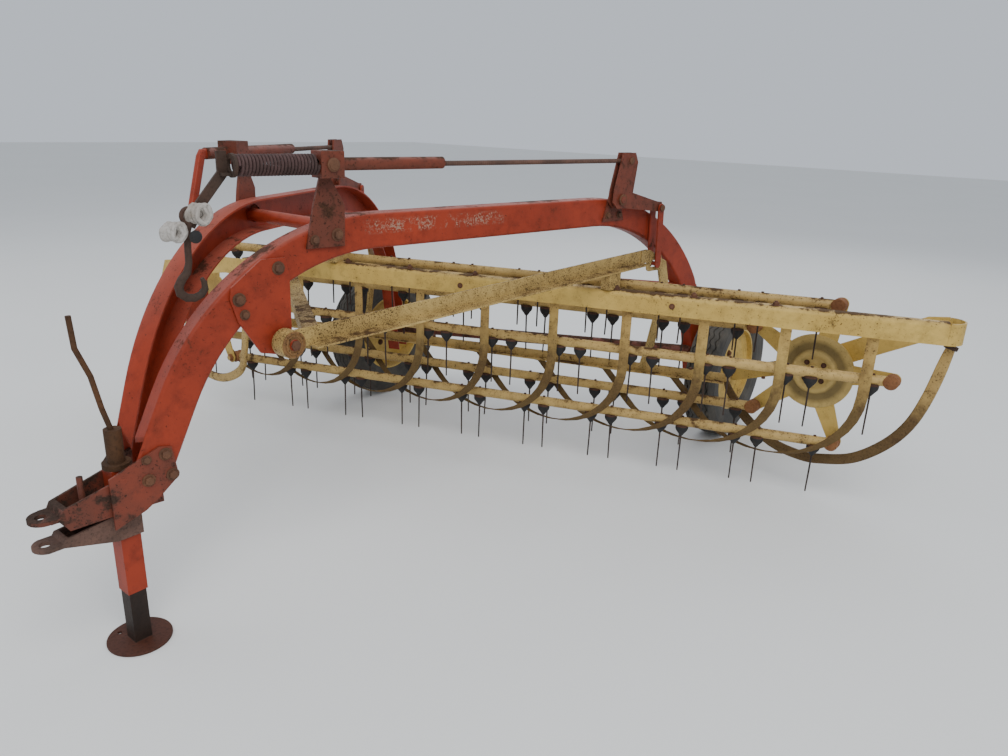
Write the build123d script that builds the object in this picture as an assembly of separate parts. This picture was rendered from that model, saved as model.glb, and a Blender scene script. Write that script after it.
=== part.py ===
from build123d import *
import math
import os

# Trailed side delivery rake with five raking bars, parked on its jack.
# Millimetres. While it is drawn, +X is the way it travels, +Y its left side, the floor is z = 0
# and the jack stands at x = y = 0. At the end the whole rake is shifted so that the origin is
# on the floor under the middle of its outline.

# Arched frame beams: C channels with their webs outside
BEAM_DEPTH = 105.0
BEAM_FLANGE = 60.0
BEAM_WALL = 6.0
BEAM_CORNER = 10.0
BEAM_TOP = 1152.0
BEAM_FRONT_RADIUS = 745.0
BEAM_FRONT_TURN = 65.0
BEAM_REAR_TURN = 76.0
BEAM_FRONT_FLAT = 775.0
BEAM_FOOT_Z = 285.0
BEAM_HEAD_Z = 465.0
HITCH_HALF_WIDTH = 60.0

# What differs between the two sides: which side it is, plan angle of the beam in degrees, end of
# its flat top, radius of its rear bend, lift post, bell crank with its two arms, how far the lift rod
# reaches in front of the post, how far outside the beam the basket arm runs and where it ends, wheel
# hub, front of the hitch plate
LEFT = dict(name="left", out=1, angle=8.5, flat_end=1780.0, rear_radius=900.0, post=600.0,
            crank=1876.8, crank_pin=43.2, crank_arm=253.2, rod_front=130.0,
            arm_out=26.0, arm_end=2085.0, wheel_x=-2650.0, wheel_y=566.0, hitch_from=-50.0)
RIGHT = dict(name="right", out=-1, angle=25.0, flat_end=1356.0, rear_radius=700.0, post=770.0,
             crank=1531.3, crank_pin=30.7, crank_arm=240.7, rod_front=60.0,
             arm_out=38.0, arm_end=1765.0, wheel_x=-1945.0, wheel_y=-1062.0, hitch_from=-6.0)
SIDES = (LEFT, RIGHT)

# Jack
SLEEVE_SIDE = 54.0
SLEEVE_WALL = 3.0
SLEEVE_BOTTOM = 163.0
SLEEVE_TOP = 534.0
LEG_SIDE = 47.4
LEG_TOP = 425.0
FOOT_RADIUS = 86.0
FOOT_THICK = 8.0
FOOT_HOLE_RADIUS = 6.0
FOOT_HOLE_OUT = 62.0
JACK_CAP_RADIUS = 36.0
JACK_CAP_THICK = 14.0
COLLAR_RADIUS = 22.0
COLLAR_HEIGHT = 92.0
JACK_ROD_RADIUS = 7.0

# Hitch tongue: a drawbar goes between its two jaws
PIN_BORE_RADIUS = 13.5
PIN_X = 198.0
JAW_THICK = 11.0
UPPER_JAW_TOP = 464.0
LOWER_JAW_TOP = 388.0
JAW_TIP_RADIUS = 38.0
TROUGH_WALL = 7.0
TROUGH_BACK = 82.0
HITCH_PLATE = 8.0
STORED_PIN_X = 96.0
STORED_PIN_RADIUS = 8.0

# Wheels
TYRE_RADIUS = 330.0
TYRE_WIDTH = 142.0
RIM_RADIUS = 196.0
RIM_WIDTH = 106.0
RIM_DISH = 8.0
HUB_RADIUS = 42.0
HUB_LENGTH = 92.0
SPINDLE_RADIUS = 19.0
RUNNING_GAP = 0.05
SEAT_GAP = 0.3
STUB_PLATE = 10.0

# Cross tubes of the frame
AXLE_TUBE_RADIUS = 29.0
AXLE_TUBE_Z = 402.0
BRACE_TUBE_RADIUS = 17.0
BRACE_TUBE_Z = 735.0
FRONT_TUBE_RADIUS = 21.0
FRONT_TUBE_X = -730.0
FRONT_TUBE_Z = 1099.0

# Reel: two heads in planes across the travel, joined by five slanting bars
REEL_X = -2198.0
REEL_Y = 1093.0
REEL_Z = 526.0
REEL_RADIUS = 289.0
REEL_LENGTH_X = 942.0
REEL_LENGTH_Y = -2605.0
BAR_COUNT = 5
BAR_PHASE = 6.3
BAR_RADIUS = 20.0
KNUCKLE_RADIUS = 26.0
KNUCKLE_LENGTH = 40.0
BAR_PIN_RADIUS = 12.0
BAR_PIN_END = 52.0
FAR_PIN_GAP = 1.5
HEAD_PLATE = 6.0
HEAD_SETBACK = 34.0
DISH_RADIUS = 150.0
DISH_RING_OUTER = 84.0
DISH_RING_INNER = 66.0
DISH_RING_HEIGHT = 9.0
BLADE_START = 100.0
BLADE_ROOT = 84.0
BLADE_TIP = 50.0
REEL_SHAFT_RADIUS = 19.0
BEARING_RADIUS = 42.0
BEARING_LENGTH = 46.0
RIGHT_SUPPORT_SETBACK = 123.0
SUPPORT_PLATE = 7.0

# Tines, each in a rubber mount under the bar
TINE_DROP = 221.0
TINE_RADIUS = 3.5
FIRST_TINE = 65.0
PAIR_START = 280.0
PAIR_PITCH = 300.0
PAIR_GAP = 87.5
PAIR_COUNT = 8
LAST_TINE = 2685.0
MOUNT_RADIUS = 17.0
MOUNT_TOP = 14.0
MOUNT_DROP = 62.0
MOUNT_TAPER = 8.0

# Basket
MAIN_OUT = 148.0
MAIN_WIDTH = 45.0
MAIN_BOTTOM = 201.0
MAIN_HEIGHT = 80.0
MAIN_WALL = 6.0
MAIN_CORNER = 20.0
MAIN_LEFT_END = -411.0
MAIN_BEND_X = -1262.0
NOSE_RADIUS = 60.0
NOSE_TURN = 160.0
RAIL_OUT = -144.0
RAIL_Z = -114.0
RAIL_SIDE = 38.0
RAIL_WALL = 5.0
RAIL_LEFT_END = 330.0
RAIL_RIGHT_END = 3130.0
HOOP_HALF_WIDTH = 126.5
HOOP_HALF_HEIGHT = 322.0
HOOP_DROP = 30.0
HOOP_LEAVE = 150.0
HOOP_THICK = 5.0
HOOP_WIDTH = 28.0
HOOP_START = 173.0
HOOP_COUNT = 9
GUARD_WIDTH = 38.0
GUARD_THICK = 7.0

# Basket hinge, arms and strut
PIVOT_X = -435.0
PIVOT_Z = 815.0
PIVOT_HUB_RADIUS = 40.0
PIVOT_HUB_LENGTH = 46.0
PIVOT_PIN_RADIUS = 16.0
PIVOT_PLATE = 8.0
ARM_SIDE = 54.0
ARM_WALL = 6.0
ARM_FRONT = 455.0
ARM_FRONT_Z = 792.0
ARM_SLOPE = 0.0565
STRUT_WIDTH = 50.0
STRUT_HEIGHT = 44.0
STRUT_WALL = 5.0
BACK_STRAP_WIDTH = 52.0
BACK_STRAP_THICK = 10.0

# Lift gear outside each beam
CRANK_Z = 1150.0
CRANK_PIN_UP = 144.5
CRANK_ARM_DROP = 43.0
CRANK_PLATE = 6.0
CRANK_SHAFT_RADIUS = 14.0
CRANK_GAP = 16.0
ROD_Z = 1297.0
ROD_RADIUS = 7.5
ROD_EYE_RADIUS = 17.0
COVER_RADIUS = 18.0
COVER_BORE = 15.0
COVER_LENGTH = 362.0
LINK_PLATE = 6.0
LINK_WIDTH = 34.0
LINK_DROP = 232.0
LINK_BACK = 12.0
LINK_PIN_RADIUS = 9.0
LINK_GAP = 34.0
SLOT_HALF = 20.0
SLOT_RADIUS = 15.0
SPRING_RADIUS = 30.0
SPRING_INNER = 21.0
SPRING_LENGTH = 235.0
SPRING_COILS = 15


def side_plane(side):
    # The plane of a beam's outer face: x runs back along the beam and y is up
    turn = math.radians(side["angle"])
    back = (-math.cos(turn), side["out"] * math.sin(turn), 0)
    normal = (math.sin(turn), side["out"] * math.cos(turn), 0)
    if side["out"] < 0:
        normal = (-normal[0], -normal[1], 0)
    return Plane(origin=(0, side["out"] * HITCH_HALF_WIDTH, 0), x_dir=back, z_dir=normal)


def in_side(side, shape, start, end):
    # A face drawn in the beam's plane, made solid from start to end outside the web
    shift = side["out"] * start
    made = extrude(Plane.XY.offset(shift) * shape, side["out"] * (end - start))
    return side_plane(side) * made


def at_side(side, along, up, outward):
    # A point given by how far back along the beam, how high and how far outside its web
    return side_plane(side).from_local_coords((along, up, side["out"] * outward))


def polygon(points):
    return make_face(Polyline(*points, close=True))


def strip_outline(points, width):
    # The outline of a band of even width along a line of points
    left = []
    right = []
    last = len(points) - 1
    for index, (x, y) in enumerate(points):
        ahead = points[min(index + 1, last)]
        behind = points[max(index - 1, 0)]
        before = math.atan2(y - behind[1], x - behind[0]) if index else None
        after = math.atan2(ahead[1] - y, ahead[0] - x) if index < last else None
        if before is None:
            before = after
        if after is None:
            after = before
        turn = math.atan2(math.sin(after - before), math.cos(after - before))
        heading = before + turn / 2
        reach = width / 2 / math.cos(turn / 2)
        left.append((x - reach * math.sin(heading), y + reach * math.cos(heading)))
        right.append((x + reach * math.sin(heading), y - reach * math.cos(heading)))
    return left + right[::-1]


def strip(points, width):
    return polygon(strip_outline(points, width))


REEL_LENGTH = math.hypot(REEL_LENGTH_X, REEL_LENGTH_Y)
BAR_DIRECTION = (REEL_LENGTH_X / REEL_LENGTH, REEL_LENGTH_Y / REEL_LENGTH, 0)
OUT_DIRECTION = (-BAR_DIRECTION[1], BAR_DIRECTION[0], 0)
RIGHT_HEAD_X = REEL_X + REEL_LENGTH_X
RIGHT_HEAD_Y = REEL_Y + REEL_LENGTH_Y


def along_reel(distance, outward=0.0):
    # Plan place at a distance along the bars and square out from the reel's axis
    return (REEL_X + distance * BAR_DIRECTION[0] + outward * OUT_DIRECTION[0],
            REEL_Y + distance * BAR_DIRECTION[1] + outward * OUT_DIRECTION[1])


def across(shape, x, thick):
    # A face drawn with x to the left of the rake and y up, made solid backwards from x forwards
    return extrude(Plane(origin=(x, 0, 0), x_dir=(0, 1, 0), z_dir=(1, 0, 0)) * shape, thick)


def along_bars(shape, start, end):
    # A face drawn square to the bars about the reel's axis, made solid between two distances
    x, y = along_reel(start)
    return extrude(Plane(origin=(x, y, REEL_Z), x_dir=OUT_DIRECTION, z_dir=BAR_DIRECTION) * shape, end - start)


def rod_between(first, second, radius):
    gap = Vector(*second) - Vector(*first)
    return Plane(origin=first, z_dir=gap) * extrude(Circle(radius), gap.length)


def beam_point(side, inset, degrees, rear):
    # On the beam's curved outline, at an angle from its flat top
    turn = math.radians(degrees)
    if rear:
        radius = side["rear_radius"] - inset
        return (side["flat_end"] + radius * math.sin(turn),
                BEAM_TOP - side["rear_radius"] + radius * math.cos(turn))
    radius = BEAM_FRONT_RADIUS - inset
    return (BEAM_FRONT_FLAT - radius * math.sin(turn),
            BEAM_TOP - BEAM_FRONT_RADIUS + radius * math.cos(turn))


def beam_front(side, inset):
    # Lower front end of the outline at this inset
    x, z = beam_point(side, inset, BEAM_FRONT_TURN, False)
    return x - (z - BEAM_HEAD_Z) / math.tan(math.radians(BEAM_FRONT_TURN)), BEAM_HEAD_Z


def beam_rear(side, inset):
    x, z = beam_point(side, inset, BEAM_REAR_TURN, True)
    return x + (z - BEAM_FOOT_Z) / math.tan(math.radians(BEAM_REAR_TURN)), BEAM_FOOT_Z


def beam_band(side, outer, inner):
    # The part of the beam's side view between two insets from its outer edge
    edges = []
    for inset in (outer, inner):
        front = beam_point(side, inset, BEAM_FRONT_TURN, False)
        rear = beam_point(side, inset, BEAM_REAR_TURN, True)
        flat_from = (BEAM_FRONT_FLAT, BEAM_TOP - inset)
        flat_to = (side["flat_end"], BEAM_TOP - inset)
        edges.append(Line(beam_front(side, inset), front))
        middle = beam_point(side, inset, BEAM_FRONT_TURN / 2, False)
        edges.append(ThreePointArc(front, middle, flat_from))
        edges.append(Line(flat_from, flat_to))
        middle = beam_point(side, inset, BEAM_REAR_TURN / 2, True)
        edges.append(ThreePointArc(flat_to, middle, rear))
        edges.append(Line(rear, beam_rear(side, inset)))
    edges.append(Line(beam_front(side, outer), beam_front(side, inner)))
    edges.append(Line(beam_rear(side, outer), beam_rear(side, inner)))
    return make_face(edges)


# Frame beams
web_gap = []
for side in (LEFT, RIGHT):
    for along in (0.0, 3200.0):
        point = at_side(side, along, 0, -BEAM_WALL)
        web_gap.append((point.X, point.Y))
between_webs = extrude(polygon([web_gap[0], web_gap[1], web_gap[3], web_gap[2]]), 1400)


def frame_tube(along_left, along_right, height, radius):
    first = at_side(LEFT, along_left, height, 60.0)
    last = at_side(RIGHT, along_right, height, 60.0)
    return rod_between(tuple(first), tuple(last), radius) & between_webs


def leg_middle(side, height):
    # How far back the middle of the beam's rear leg is at a height
    reach = side["rear_radius"] - BEAM_DEPTH / 2
    rise = height - (BEAM_TOP - side["rear_radius"])
    straight_z = reach * math.cos(math.radians(BEAM_REAR_TURN))
    if rise > straight_z:
        return side["flat_end"] + math.sqrt(reach ** 2 - rise ** 2)
    bottom = side["flat_end"] + reach * math.sin(math.radians(BEAM_REAR_TURN))
    return bottom + (straight_z - rise) / math.tan(math.radians(BEAM_REAR_TURN))


axle_tube = frame_tube(leg_middle(LEFT, AXLE_TUBE_Z), leg_middle(RIGHT, AXLE_TUBE_Z),
                       AXLE_TUBE_Z, AXLE_TUBE_RADIUS)
brace_tube = frame_tube(leg_middle(LEFT, BRACE_TUBE_Z), leg_middle(RIGHT, BRACE_TUBE_Z),
                        BRACE_TUBE_Z, BRACE_TUBE_RADIUS)
front_along_left = -FRONT_TUBE_X / math.cos(math.radians(LEFT["angle"]))
front_along_right = -FRONT_TUBE_X / math.cos(math.radians(RIGHT["angle"]))
front_tube = frame_tube(front_along_left, front_along_right, FRONT_TUBE_Z, FRONT_TUBE_RADIUS)

jack_room = Pos(0, 0, 300) * Box(104, 240, 360, align=(Align.CENTER, Align.CENTER, Align.MIN))
pieces = {}
for side in SIDES:
    whole_depth = beam_band(side, 0, BEAM_DEPTH)
    inside_depth = beam_band(side, BEAM_WALL, BEAM_DEPTH - BEAM_WALL)
    channel = in_side(side, whole_depth, -BEAM_FLANGE, 0)
    bends = []
    for edge in channel.edges():
        corner = side_plane(side).to_local_coords(edge.center())
        if abs(corner.Z) < 0.5 and edge.length > 1.5 * BEAM_DEPTH:
            bends.append(edge)
    channel = fillet(bends, BEAM_CORNER)
    channel -= in_side(side, inside_depth, -2 * BEAM_FLANGE, -BEAM_WALL)
    beam = channel - (jack_room & in_side(side, beam_band(side, -5, BEAM_WALL), -2 * BEAM_FLANGE, -BEAM_WALL))
    beam = beam - axle_tube - brace_tube
    pieces["beam_" + side["name"]] = beam
pieces["axle_tube"] = axle_tube
pieces["brace_tube"] = brace_tube
pieces["front_cross_tube"] = front_tube

# Jack: square sleeve fixed in the hitch, inner leg with a round foot
sleeve = Pos(0, 0, (SLEEVE_BOTTOM + SLEEVE_TOP) / 2) * Box(SLEEVE_SIDE, SLEEVE_SIDE, SLEEVE_TOP - SLEEVE_BOTTOM)
room = SLEEVE_SIDE - 2 * SLEEVE_WALL
sleeve -= Pos(0, 0, (SLEEVE_BOTTOM + SLEEVE_TOP) / 2) * Box(room, room, SLEEVE_TOP - SLEEVE_BOTTOM)
pieces["jack_sleeve"] = sleeve
leg = Pos(0, 0, FOOT_THICK) * Box(LEG_SIDE, LEG_SIDE, LEG_TOP - FOOT_THICK,
                                  align=(Align.CENTER, Align.CENTER, Align.MIN))
foot = Cylinder(FOOT_RADIUS, FOOT_THICK, align=(Align.CENTER, Align.CENTER, Align.MIN))
hole_turn = math.radians(150)
foot -= Pos(FOOT_HOLE_OUT * math.sin(hole_turn), FOOT_HOLE_OUT * math.cos(hole_turn), 0) * Cylinder(
    FOOT_HOLE_RADIUS, 3 * FOOT_THICK)
pieces["jack_leg"] = leg + foot
cap = Pos(0, 0, SLEEVE_TOP) * Cylinder(JACK_CAP_RADIUS, JACK_CAP_THICK,
                                       align=(Align.CENTER, Align.CENTER, Align.MIN))
cap_top = SLEEVE_TOP + JACK_CAP_THICK
collar = Pos(0, 0, cap_top) * Cylinder(COLLAR_RADIUS, COLLAR_HEIGHT,
                                       align=(Align.CENTER, Align.CENTER, Align.MIN))
grip = [(0, 0, cap_top + COLLAR_HEIGHT - 12), (18, 0, 700), (34, 0, 790), (62, 0, 868), (66, 0, 950)]
crank = rod_between(grip[0], grip[1], JACK_ROD_RADIUS)
for first, last in zip(grip[1:], grip[2:]):
    crank += rod_between(first, last, JACK_ROD_RADIUS) + Pos(*first) * Sphere(JACK_ROD_RADIUS)
pieces["jack_crank"] = cap + collar + crank

# Hitch: two jaws in one line, held between plates bolted over the beams' front ends
sleeve_room = Box(SLEEVE_SIDE, SLEEVE_SIDE, 1200)
pin_bore = Pos(PIN_X, 0, 0) * Cylinder(PIN_BORE_RADIUS, 1200)


def tongue(plan, inner, profile, floor):
    # A trough with a flat tip: its plan shape, its side view, the room inside and the floor line
    body = extrude(polygon(plan), 700) & (Plane.XZ * extrude(polygon(profile), 200, both=True))
    room = extrude(polygon(inner), 700) & (Plane.XZ * extrude(polygon(floor), 200, both=True))
    tip = Pos(PIN_X - 8, 0, 0) * Cylinder(JAW_TIP_RADIUS, 1200)
    behind = Pos(PIN_X - 8, 0, 0) * Box(600, 300, 1200, align=(Align.MAX, Align.CENTER, Align.CENTER))
    return (body - room) & (tip + behind)


corners = []
for side in (LEFT, RIGHT):
    near = at_side(side, -24.0, 0, -BEAM_WALL)
    far = at_side(side, TROUGH_BACK, 0, -BEAM_WALL)
    corners.append([(near.X, near.Y), (far.X, far.Y)])
tip_x = PIN_X + 60
upper_plan = [(tip_x, 40), (PIN_X - 20, 40), corners[0][0], corners[0][1],
              corners[1][1], corners[1][0], (PIN_X - 20, -40), (tip_x, -40)]
inset = TROUGH_WALL
upper_inner = [(PIN_X - 50, 40 - inset), (corners[0][0][0], corners[0][0][1] - inset),
               (corners[0][1][0] - 20, corners[0][1][1] - inset),
               (corners[1][1][0] - 20, corners[1][1][1] + inset),
               (corners[1][0][0], corners[1][0][1] + inset), (PIN_X - 50, -40 + inset)]
upper_profile = [(tip_x, UPPER_JAW_TOP - JAW_THICK), (PIN_X - 30, UPPER_JAW_TOP - JAW_THICK),
                 (150, 421), (-90, 424), (-90, 540), (0, 523), (PIN_X - 38, 480),
                 (PIN_X - 30, UPPER_JAW_TOP), (tip_x, UPPER_JAW_TOP)]
upper_floor = [(160, 700), (160, 432), (-200, 434), (-200, 700)]
upper = tongue(upper_plan, upper_inner, upper_profile, upper_floor)
upper -= sleeve_room
upper -= pin_bore
stored = Pos(STORED_PIN_X, 0, 425) * Cylinder(STORED_PIN_RADIUS, 112,
                                              align=(Align.CENTER, Align.CENTER, Align.MIN))
pieces["tongue_upper"] = upper + stored
half = SLEEVE_SIDE / 2 + TROUGH_WALL
lower_plan = [(tip_x, 36), (PIN_X - 20, 36), (30, half), (-33, half),
              (-33, -half), (30, -half), (PIN_X - 20, -36), (tip_x, -36)]
lower_inner = [(PIN_X - 45, half - inset), (-80, half - inset), (-80, inset - half), (PIN_X - 45, inset - half)]
lower_profile = [(tip_x, LOWER_JAW_TOP - JAW_THICK), (PIN_X - 30, LOWER_JAW_TOP - JAW_THICK),
                 (36, 338), (-33, 338), (-33, 419), (30, 416), (PIN_X - 36, LOWER_JAW_TOP + 10),
                 (PIN_X - 30, LOWER_JAW_TOP), (tip_x, LOWER_JAW_TOP)]
lower_floor = [(160, 700), (160, 384), (36, 350), (-200, 350), (-200, 700)]
lower = tongue(lower_plan, lower_inner, lower_profile, lower_floor)
lower -= sleeve_room
lower -= pin_bore
pieces["tongue_lower"] = lower
for side in SIDES:
    start = side["hitch_from"]
    outline = [(start, 530), (81, 587), (112, 581), (124, 493), (66, 443), (32, 419), (start, 386)]
    pieces["hitch_plate_" + side["name"]] = in_side(side, polygon(outline), 0, HITCH_PLATE)

# Wheels and their stub axles
for side in SIDES:
    out = side["out"]
    centre = (side["wheel_x"], side["wheel_y"], TYRE_RADIUS)
    turn = Plane(origin=centre, x_dir=(1, 0, 0), z_dir=(0, out, 0))
    half = TYRE_WIDTH / 2
    bead = RIM_WIDTH / 2
    outer = [(RIM_RADIUS, -bead), (RIM_RADIUS + 30, -half + 6), (262, -half), (300, -half + 6),
             (318, -half + 20), (TYRE_RADIUS - 3, -28), (TYRE_RADIUS, 0), (TYRE_RADIUS - 3, 28),
             (318, half - 20), (300, half - 6), (262, half), (RIM_RADIUS + 30, half - 6), (RIM_RADIUS, bead)]
    section = Plane.XZ * polygon(outer)
    pieces["tyre_" + side["name"]] = turn * revolve(section, Axis.Z)
    dish = [(HUB_RADIUS, 6), (120, 6), (150, 20), (172, 20), (RIM_RADIUS - RIM_DISH, bead - 24),
            (RIM_RADIUS - RIM_DISH, bead), (RIM_RADIUS, bead), (RIM_RADIUS, -bead),
            (RIM_RADIUS - RIM_DISH, -bead), (RIM_RADIUS - RIM_DISH, 8), (172, 10), (155, 10), (122, -4),
            (HUB_RADIUS, -4)]
    rim = revolve(Plane.XZ * polygon(dish), Axis.Z)
    hub = Cylinder(HUB_RADIUS, HUB_LENGTH) - Cylinder(SPINDLE_RADIUS + RUNNING_GAP, HUB_LENGTH)
    pieces["rim_" + side["name"]] = turn * (rim + hub)
    rise = side_plane(side).to_local_coords(Vector(*centre))
    outline = strip([(rise.X, TYRE_RADIUS), (rise.X - 70, TYRE_RADIUS + 70)], 92)
    plate = in_side(side, make_hull(outline.edges()), 0, STUB_PLATE)
    plate = plate + in_side(side, Pos(rise.X, TYRE_RADIUS) * Circle(46), 0, STUB_PLATE)
    shaft = turn * (Pos(0, 0, -200) * Cylinder(SPINDLE_RADIUS, 200 + HUB_LENGTH / 2 + 12,
                                               align=(Align.CENTER, Align.CENTER, Align.MIN)))
    collar_length = 200 - HUB_LENGTH / 2 - 6
    shaft += turn * (Pos(0, 0, -200) * Cylinder(30, collar_length,
                                                align=(Align.CENTER, Align.CENTER, Align.MIN)))
    inside = in_side(side, Pos(rise.X, TYRE_RADIUS) * Rectangle(600, 600), -600, 0)
    pieces["stub_axle_" + side["name"]] = (plate + shaft) - inside

# Basket: main beam across the front, rail across the back
low = MAIN_BOTTOM
high = MAIN_BOTTOM + MAIN_HEIGHT
inner_y = MAIN_OUT - MAIN_WIDTH
beam_section = make_face([
    Line((inner_y, low), (MAIN_OUT, low)),
    Line((MAIN_OUT, low), (MAIN_OUT, high - MAIN_CORNER)),
    ThreePointArc((MAIN_OUT, high - MAIN_CORNER),
                  (MAIN_OUT - MAIN_CORNER * 0.293, high - MAIN_CORNER * 0.293),
                  (MAIN_OUT - MAIN_CORNER, high)),
    Line((MAIN_OUT - MAIN_CORNER, high), (inner_y, high)),
    Line((inner_y, high), (inner_y, low))])
hollow = Pos(inner_y, low + MAIN_HEIGHT / 2) * Rectangle(
    2 * (MAIN_WIDTH - MAIN_WALL), MAIN_HEIGHT - 2 * MAIN_WALL)
hollow = hollow - Pos(MAIN_OUT - MAIN_WALL, high - MAIN_WALL) * Rectangle(2 * MAIN_CORNER, 2 * MAIN_CORNER)
channel = beam_section - hollow
main_beam = along_bars(channel, MAIN_LEFT_END, REEL_LENGTH + 200)
main_beam -= Pos(MAIN_BEND_X, RIGHT_HEAD_Y, 0) * Box(
    900, 2400, 2000, align=(Align.MIN, Align.CENTER, Align.CENTER))
end_distance = (MAIN_BEND_X - REEL_X) / BAR_DIRECTION[0]
end_y = along_reel(end_distance)[1] + MAIN_OUT / BAR_DIRECTION[0]
right_face = RIGHT_HEAD_X + RIGHT_SUPPORT_SETBACK
main_beam += across(Pos(end_y - MAIN_OUT, REEL_Z) * channel, MAIN_BEND_X, right_face - MAIN_BEND_X)
pieces["main_beam"] = main_beam

rail = Pos(RAIL_OUT, RAIL_Z) * (Pos(-RAIL_SIDE / 2 + RAIL_WALL / 2, 0) * Rectangle(RAIL_WALL, RAIL_SIDE)
                                + Pos(0, -RAIL_SIDE / 2 + RAIL_WALL / 2) * Rectangle(RAIL_SIDE, RAIL_WALL))
rear_rail = along_bars(rail, RAIL_LEFT_END, RAIL_RIGHT_END)
nose_x, nose_y = along_reel(MAIN_LEFT_END, MAIN_OUT)
heading = math.atan2(-BAR_DIRECTION[1], -BAR_DIRECTION[0])
middle_x = nose_x - NOSE_RADIUS * math.sin(heading)
middle_y = nose_y + NOSE_RADIUS * math.cos(heading)
left_face = middle_x - NOSE_RADIUS + MAIN_WALL
rail_foot = REEL_Z + RAIL_Z
for distance, face in ((RAIL_LEFT_END, left_face), (RAIL_RIGHT_END, right_face)):
    rail_x, rail_y = along_reel(distance, RAIL_OUT - RAIL_SIDE / 2)
    first = min(rail_x, face)
    rear_rail += Pos(first, rail_y, rail_foot - RAIL_SIDE / 2) * Box(
        abs(face - rail_x), RAIL_WALL + 3, RAIL_SIDE, align=(Align.MIN, Align.MIN, Align.MIN))
pieces["rear_rail"] = rear_rail

# Rear-left end: the channel's face wraps round and slopes down to the reel's bearing
wrap = []
for step in range(9):
    angle = heading - math.pi / 2 + math.radians(NOSE_TURN) * step / 8
    reach = NOSE_RADIUS - MAIN_WALL / 2
    wrap.append((middle_x + reach * math.cos(angle), middle_y + reach * math.sin(angle)))
leg_x = left_face
nose = Pos(0, 0, REEL_Z + low) * extrude(strip(wrap, MAIN_WALL), MAIN_HEIGHT)
leg_outline = strip([(middle_y + 4, REEL_Z + low + 40), (middle_y - 60, REEL_Z + low + 30),
                     (REEL_Y + 60, REEL_Z + 62), (REEL_Y, REEL_Z + 10)], 84)
rail_start = along_reel(RAIL_LEFT_END, RAIL_OUT - RAIL_SIDE / 2)[1]
back_outline = strip([(REEL_Y + 20, REEL_Z + 14), (REEL_Y - 160, REEL_Z - 40),
                      (rail_start - 4, rail_foot)], 62)
plate_outline = leg_outline + back_outline + Pos(REEL_Y, REEL_Z) * Circle(52)
left_plate = across(plate_outline, leg_x - MAIN_WALL, MAIN_WALL)
left_bearing = across(Pos(REEL_Y, REEL_Z) * Circle(BEARING_RADIUS), leg_x, BEARING_LENGTH)
left_support = left_plate + nose + left_bearing
left_support -= across(Pos(REEL_Y, REEL_Z) * Circle(REEL_SHAFT_RADIUS + RUNNING_GAP), leg_x - 40, 140)
left_support -= main_beam
left_support -= rear_rail
pieces["left_support"] = left_support

# Front-right end: an open plate from the main beam's nose to the bearing and the rail
top_y = end_y - MAIN_WIDTH / 2
top_z = REEL_Z + low + MAIN_HEIGHT / 2
rail_end = along_reel(RAIL_RIGHT_END, RAIL_OUT - RAIL_SIDE / 2)[1]
plate_outline = strip([(top_y + 30, top_z + 2), (top_y - 160, top_z - 10), (RIGHT_HEAD_Y - 230, REEL_Z + 150),
                       (rail_end + 20, rail_foot)], 72)
plate_outline += strip([(RIGHT_HEAD_Y + 20, REEL_Z + 205), (RIGHT_HEAD_Y, REEL_Z)], 84)
plate_outline += Pos(RIGHT_HEAD_Y, REEL_Z) * Circle(54)
right_support = across(plate_outline, right_face, SUPPORT_PLATE)
right_support += across(Pos(RIGHT_HEAD_Y, REEL_Z) * Circle(BEARING_RADIUS), right_face - BEARING_LENGTH,
                        BEARING_LENGTH)
right_support -= across(Pos(RIGHT_HEAD_Y, REEL_Z) * Circle(REEL_SHAFT_RADIUS + RUNNING_GAP),
                        right_face - 100, 160)
right_support -= rear_rail
pieces["right_support"] = right_support

# Stripper hoops, one midway between each two pairs of tines, each in a plane across the travel
slant = BAR_DIRECTION[0]
hoop_line = [(HOOP_HALF_WIDTH, MAIN_BOTTOM)]
for step in range(17):
    angle = math.radians(HOOP_LEAVE) * step / 16
    hoop_line.append((HOOP_HALF_WIDTH * math.cos(angle), -HOOP_DROP - HOOP_HALF_HEIGHT * math.sin(angle)))
tail_z = RAIL_Z - RAIL_SIDE / 2 - HOOP_THICK / 2
hoop_line.append((RAIL_OUT + RAIL_SIDE / 2 - 6, tail_z))
hoop_line.append((RAIL_OUT, tail_z))
hoop_face = polygon([(out / slant, up) for out, up in strip_outline(hoop_line, HOOP_THICK)])
hoops = []
for number in range(HOOP_COUNT):
    hoop_x, hoop_y = along_reel(HOOP_START + PAIR_PITCH * number - HOOP_WIDTH / 2)
    place = Plane(origin=(hoop_x, hoop_y, REEL_Z), x_dir=(0, 1, 0), z_dir=(1, 0, 0))
    hoops.append(extrude(place * hoop_face, HOOP_WIDTH, dir=BAR_DIRECTION))
pieces["stripper_hoops"] = Compound(children=hoops)

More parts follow.
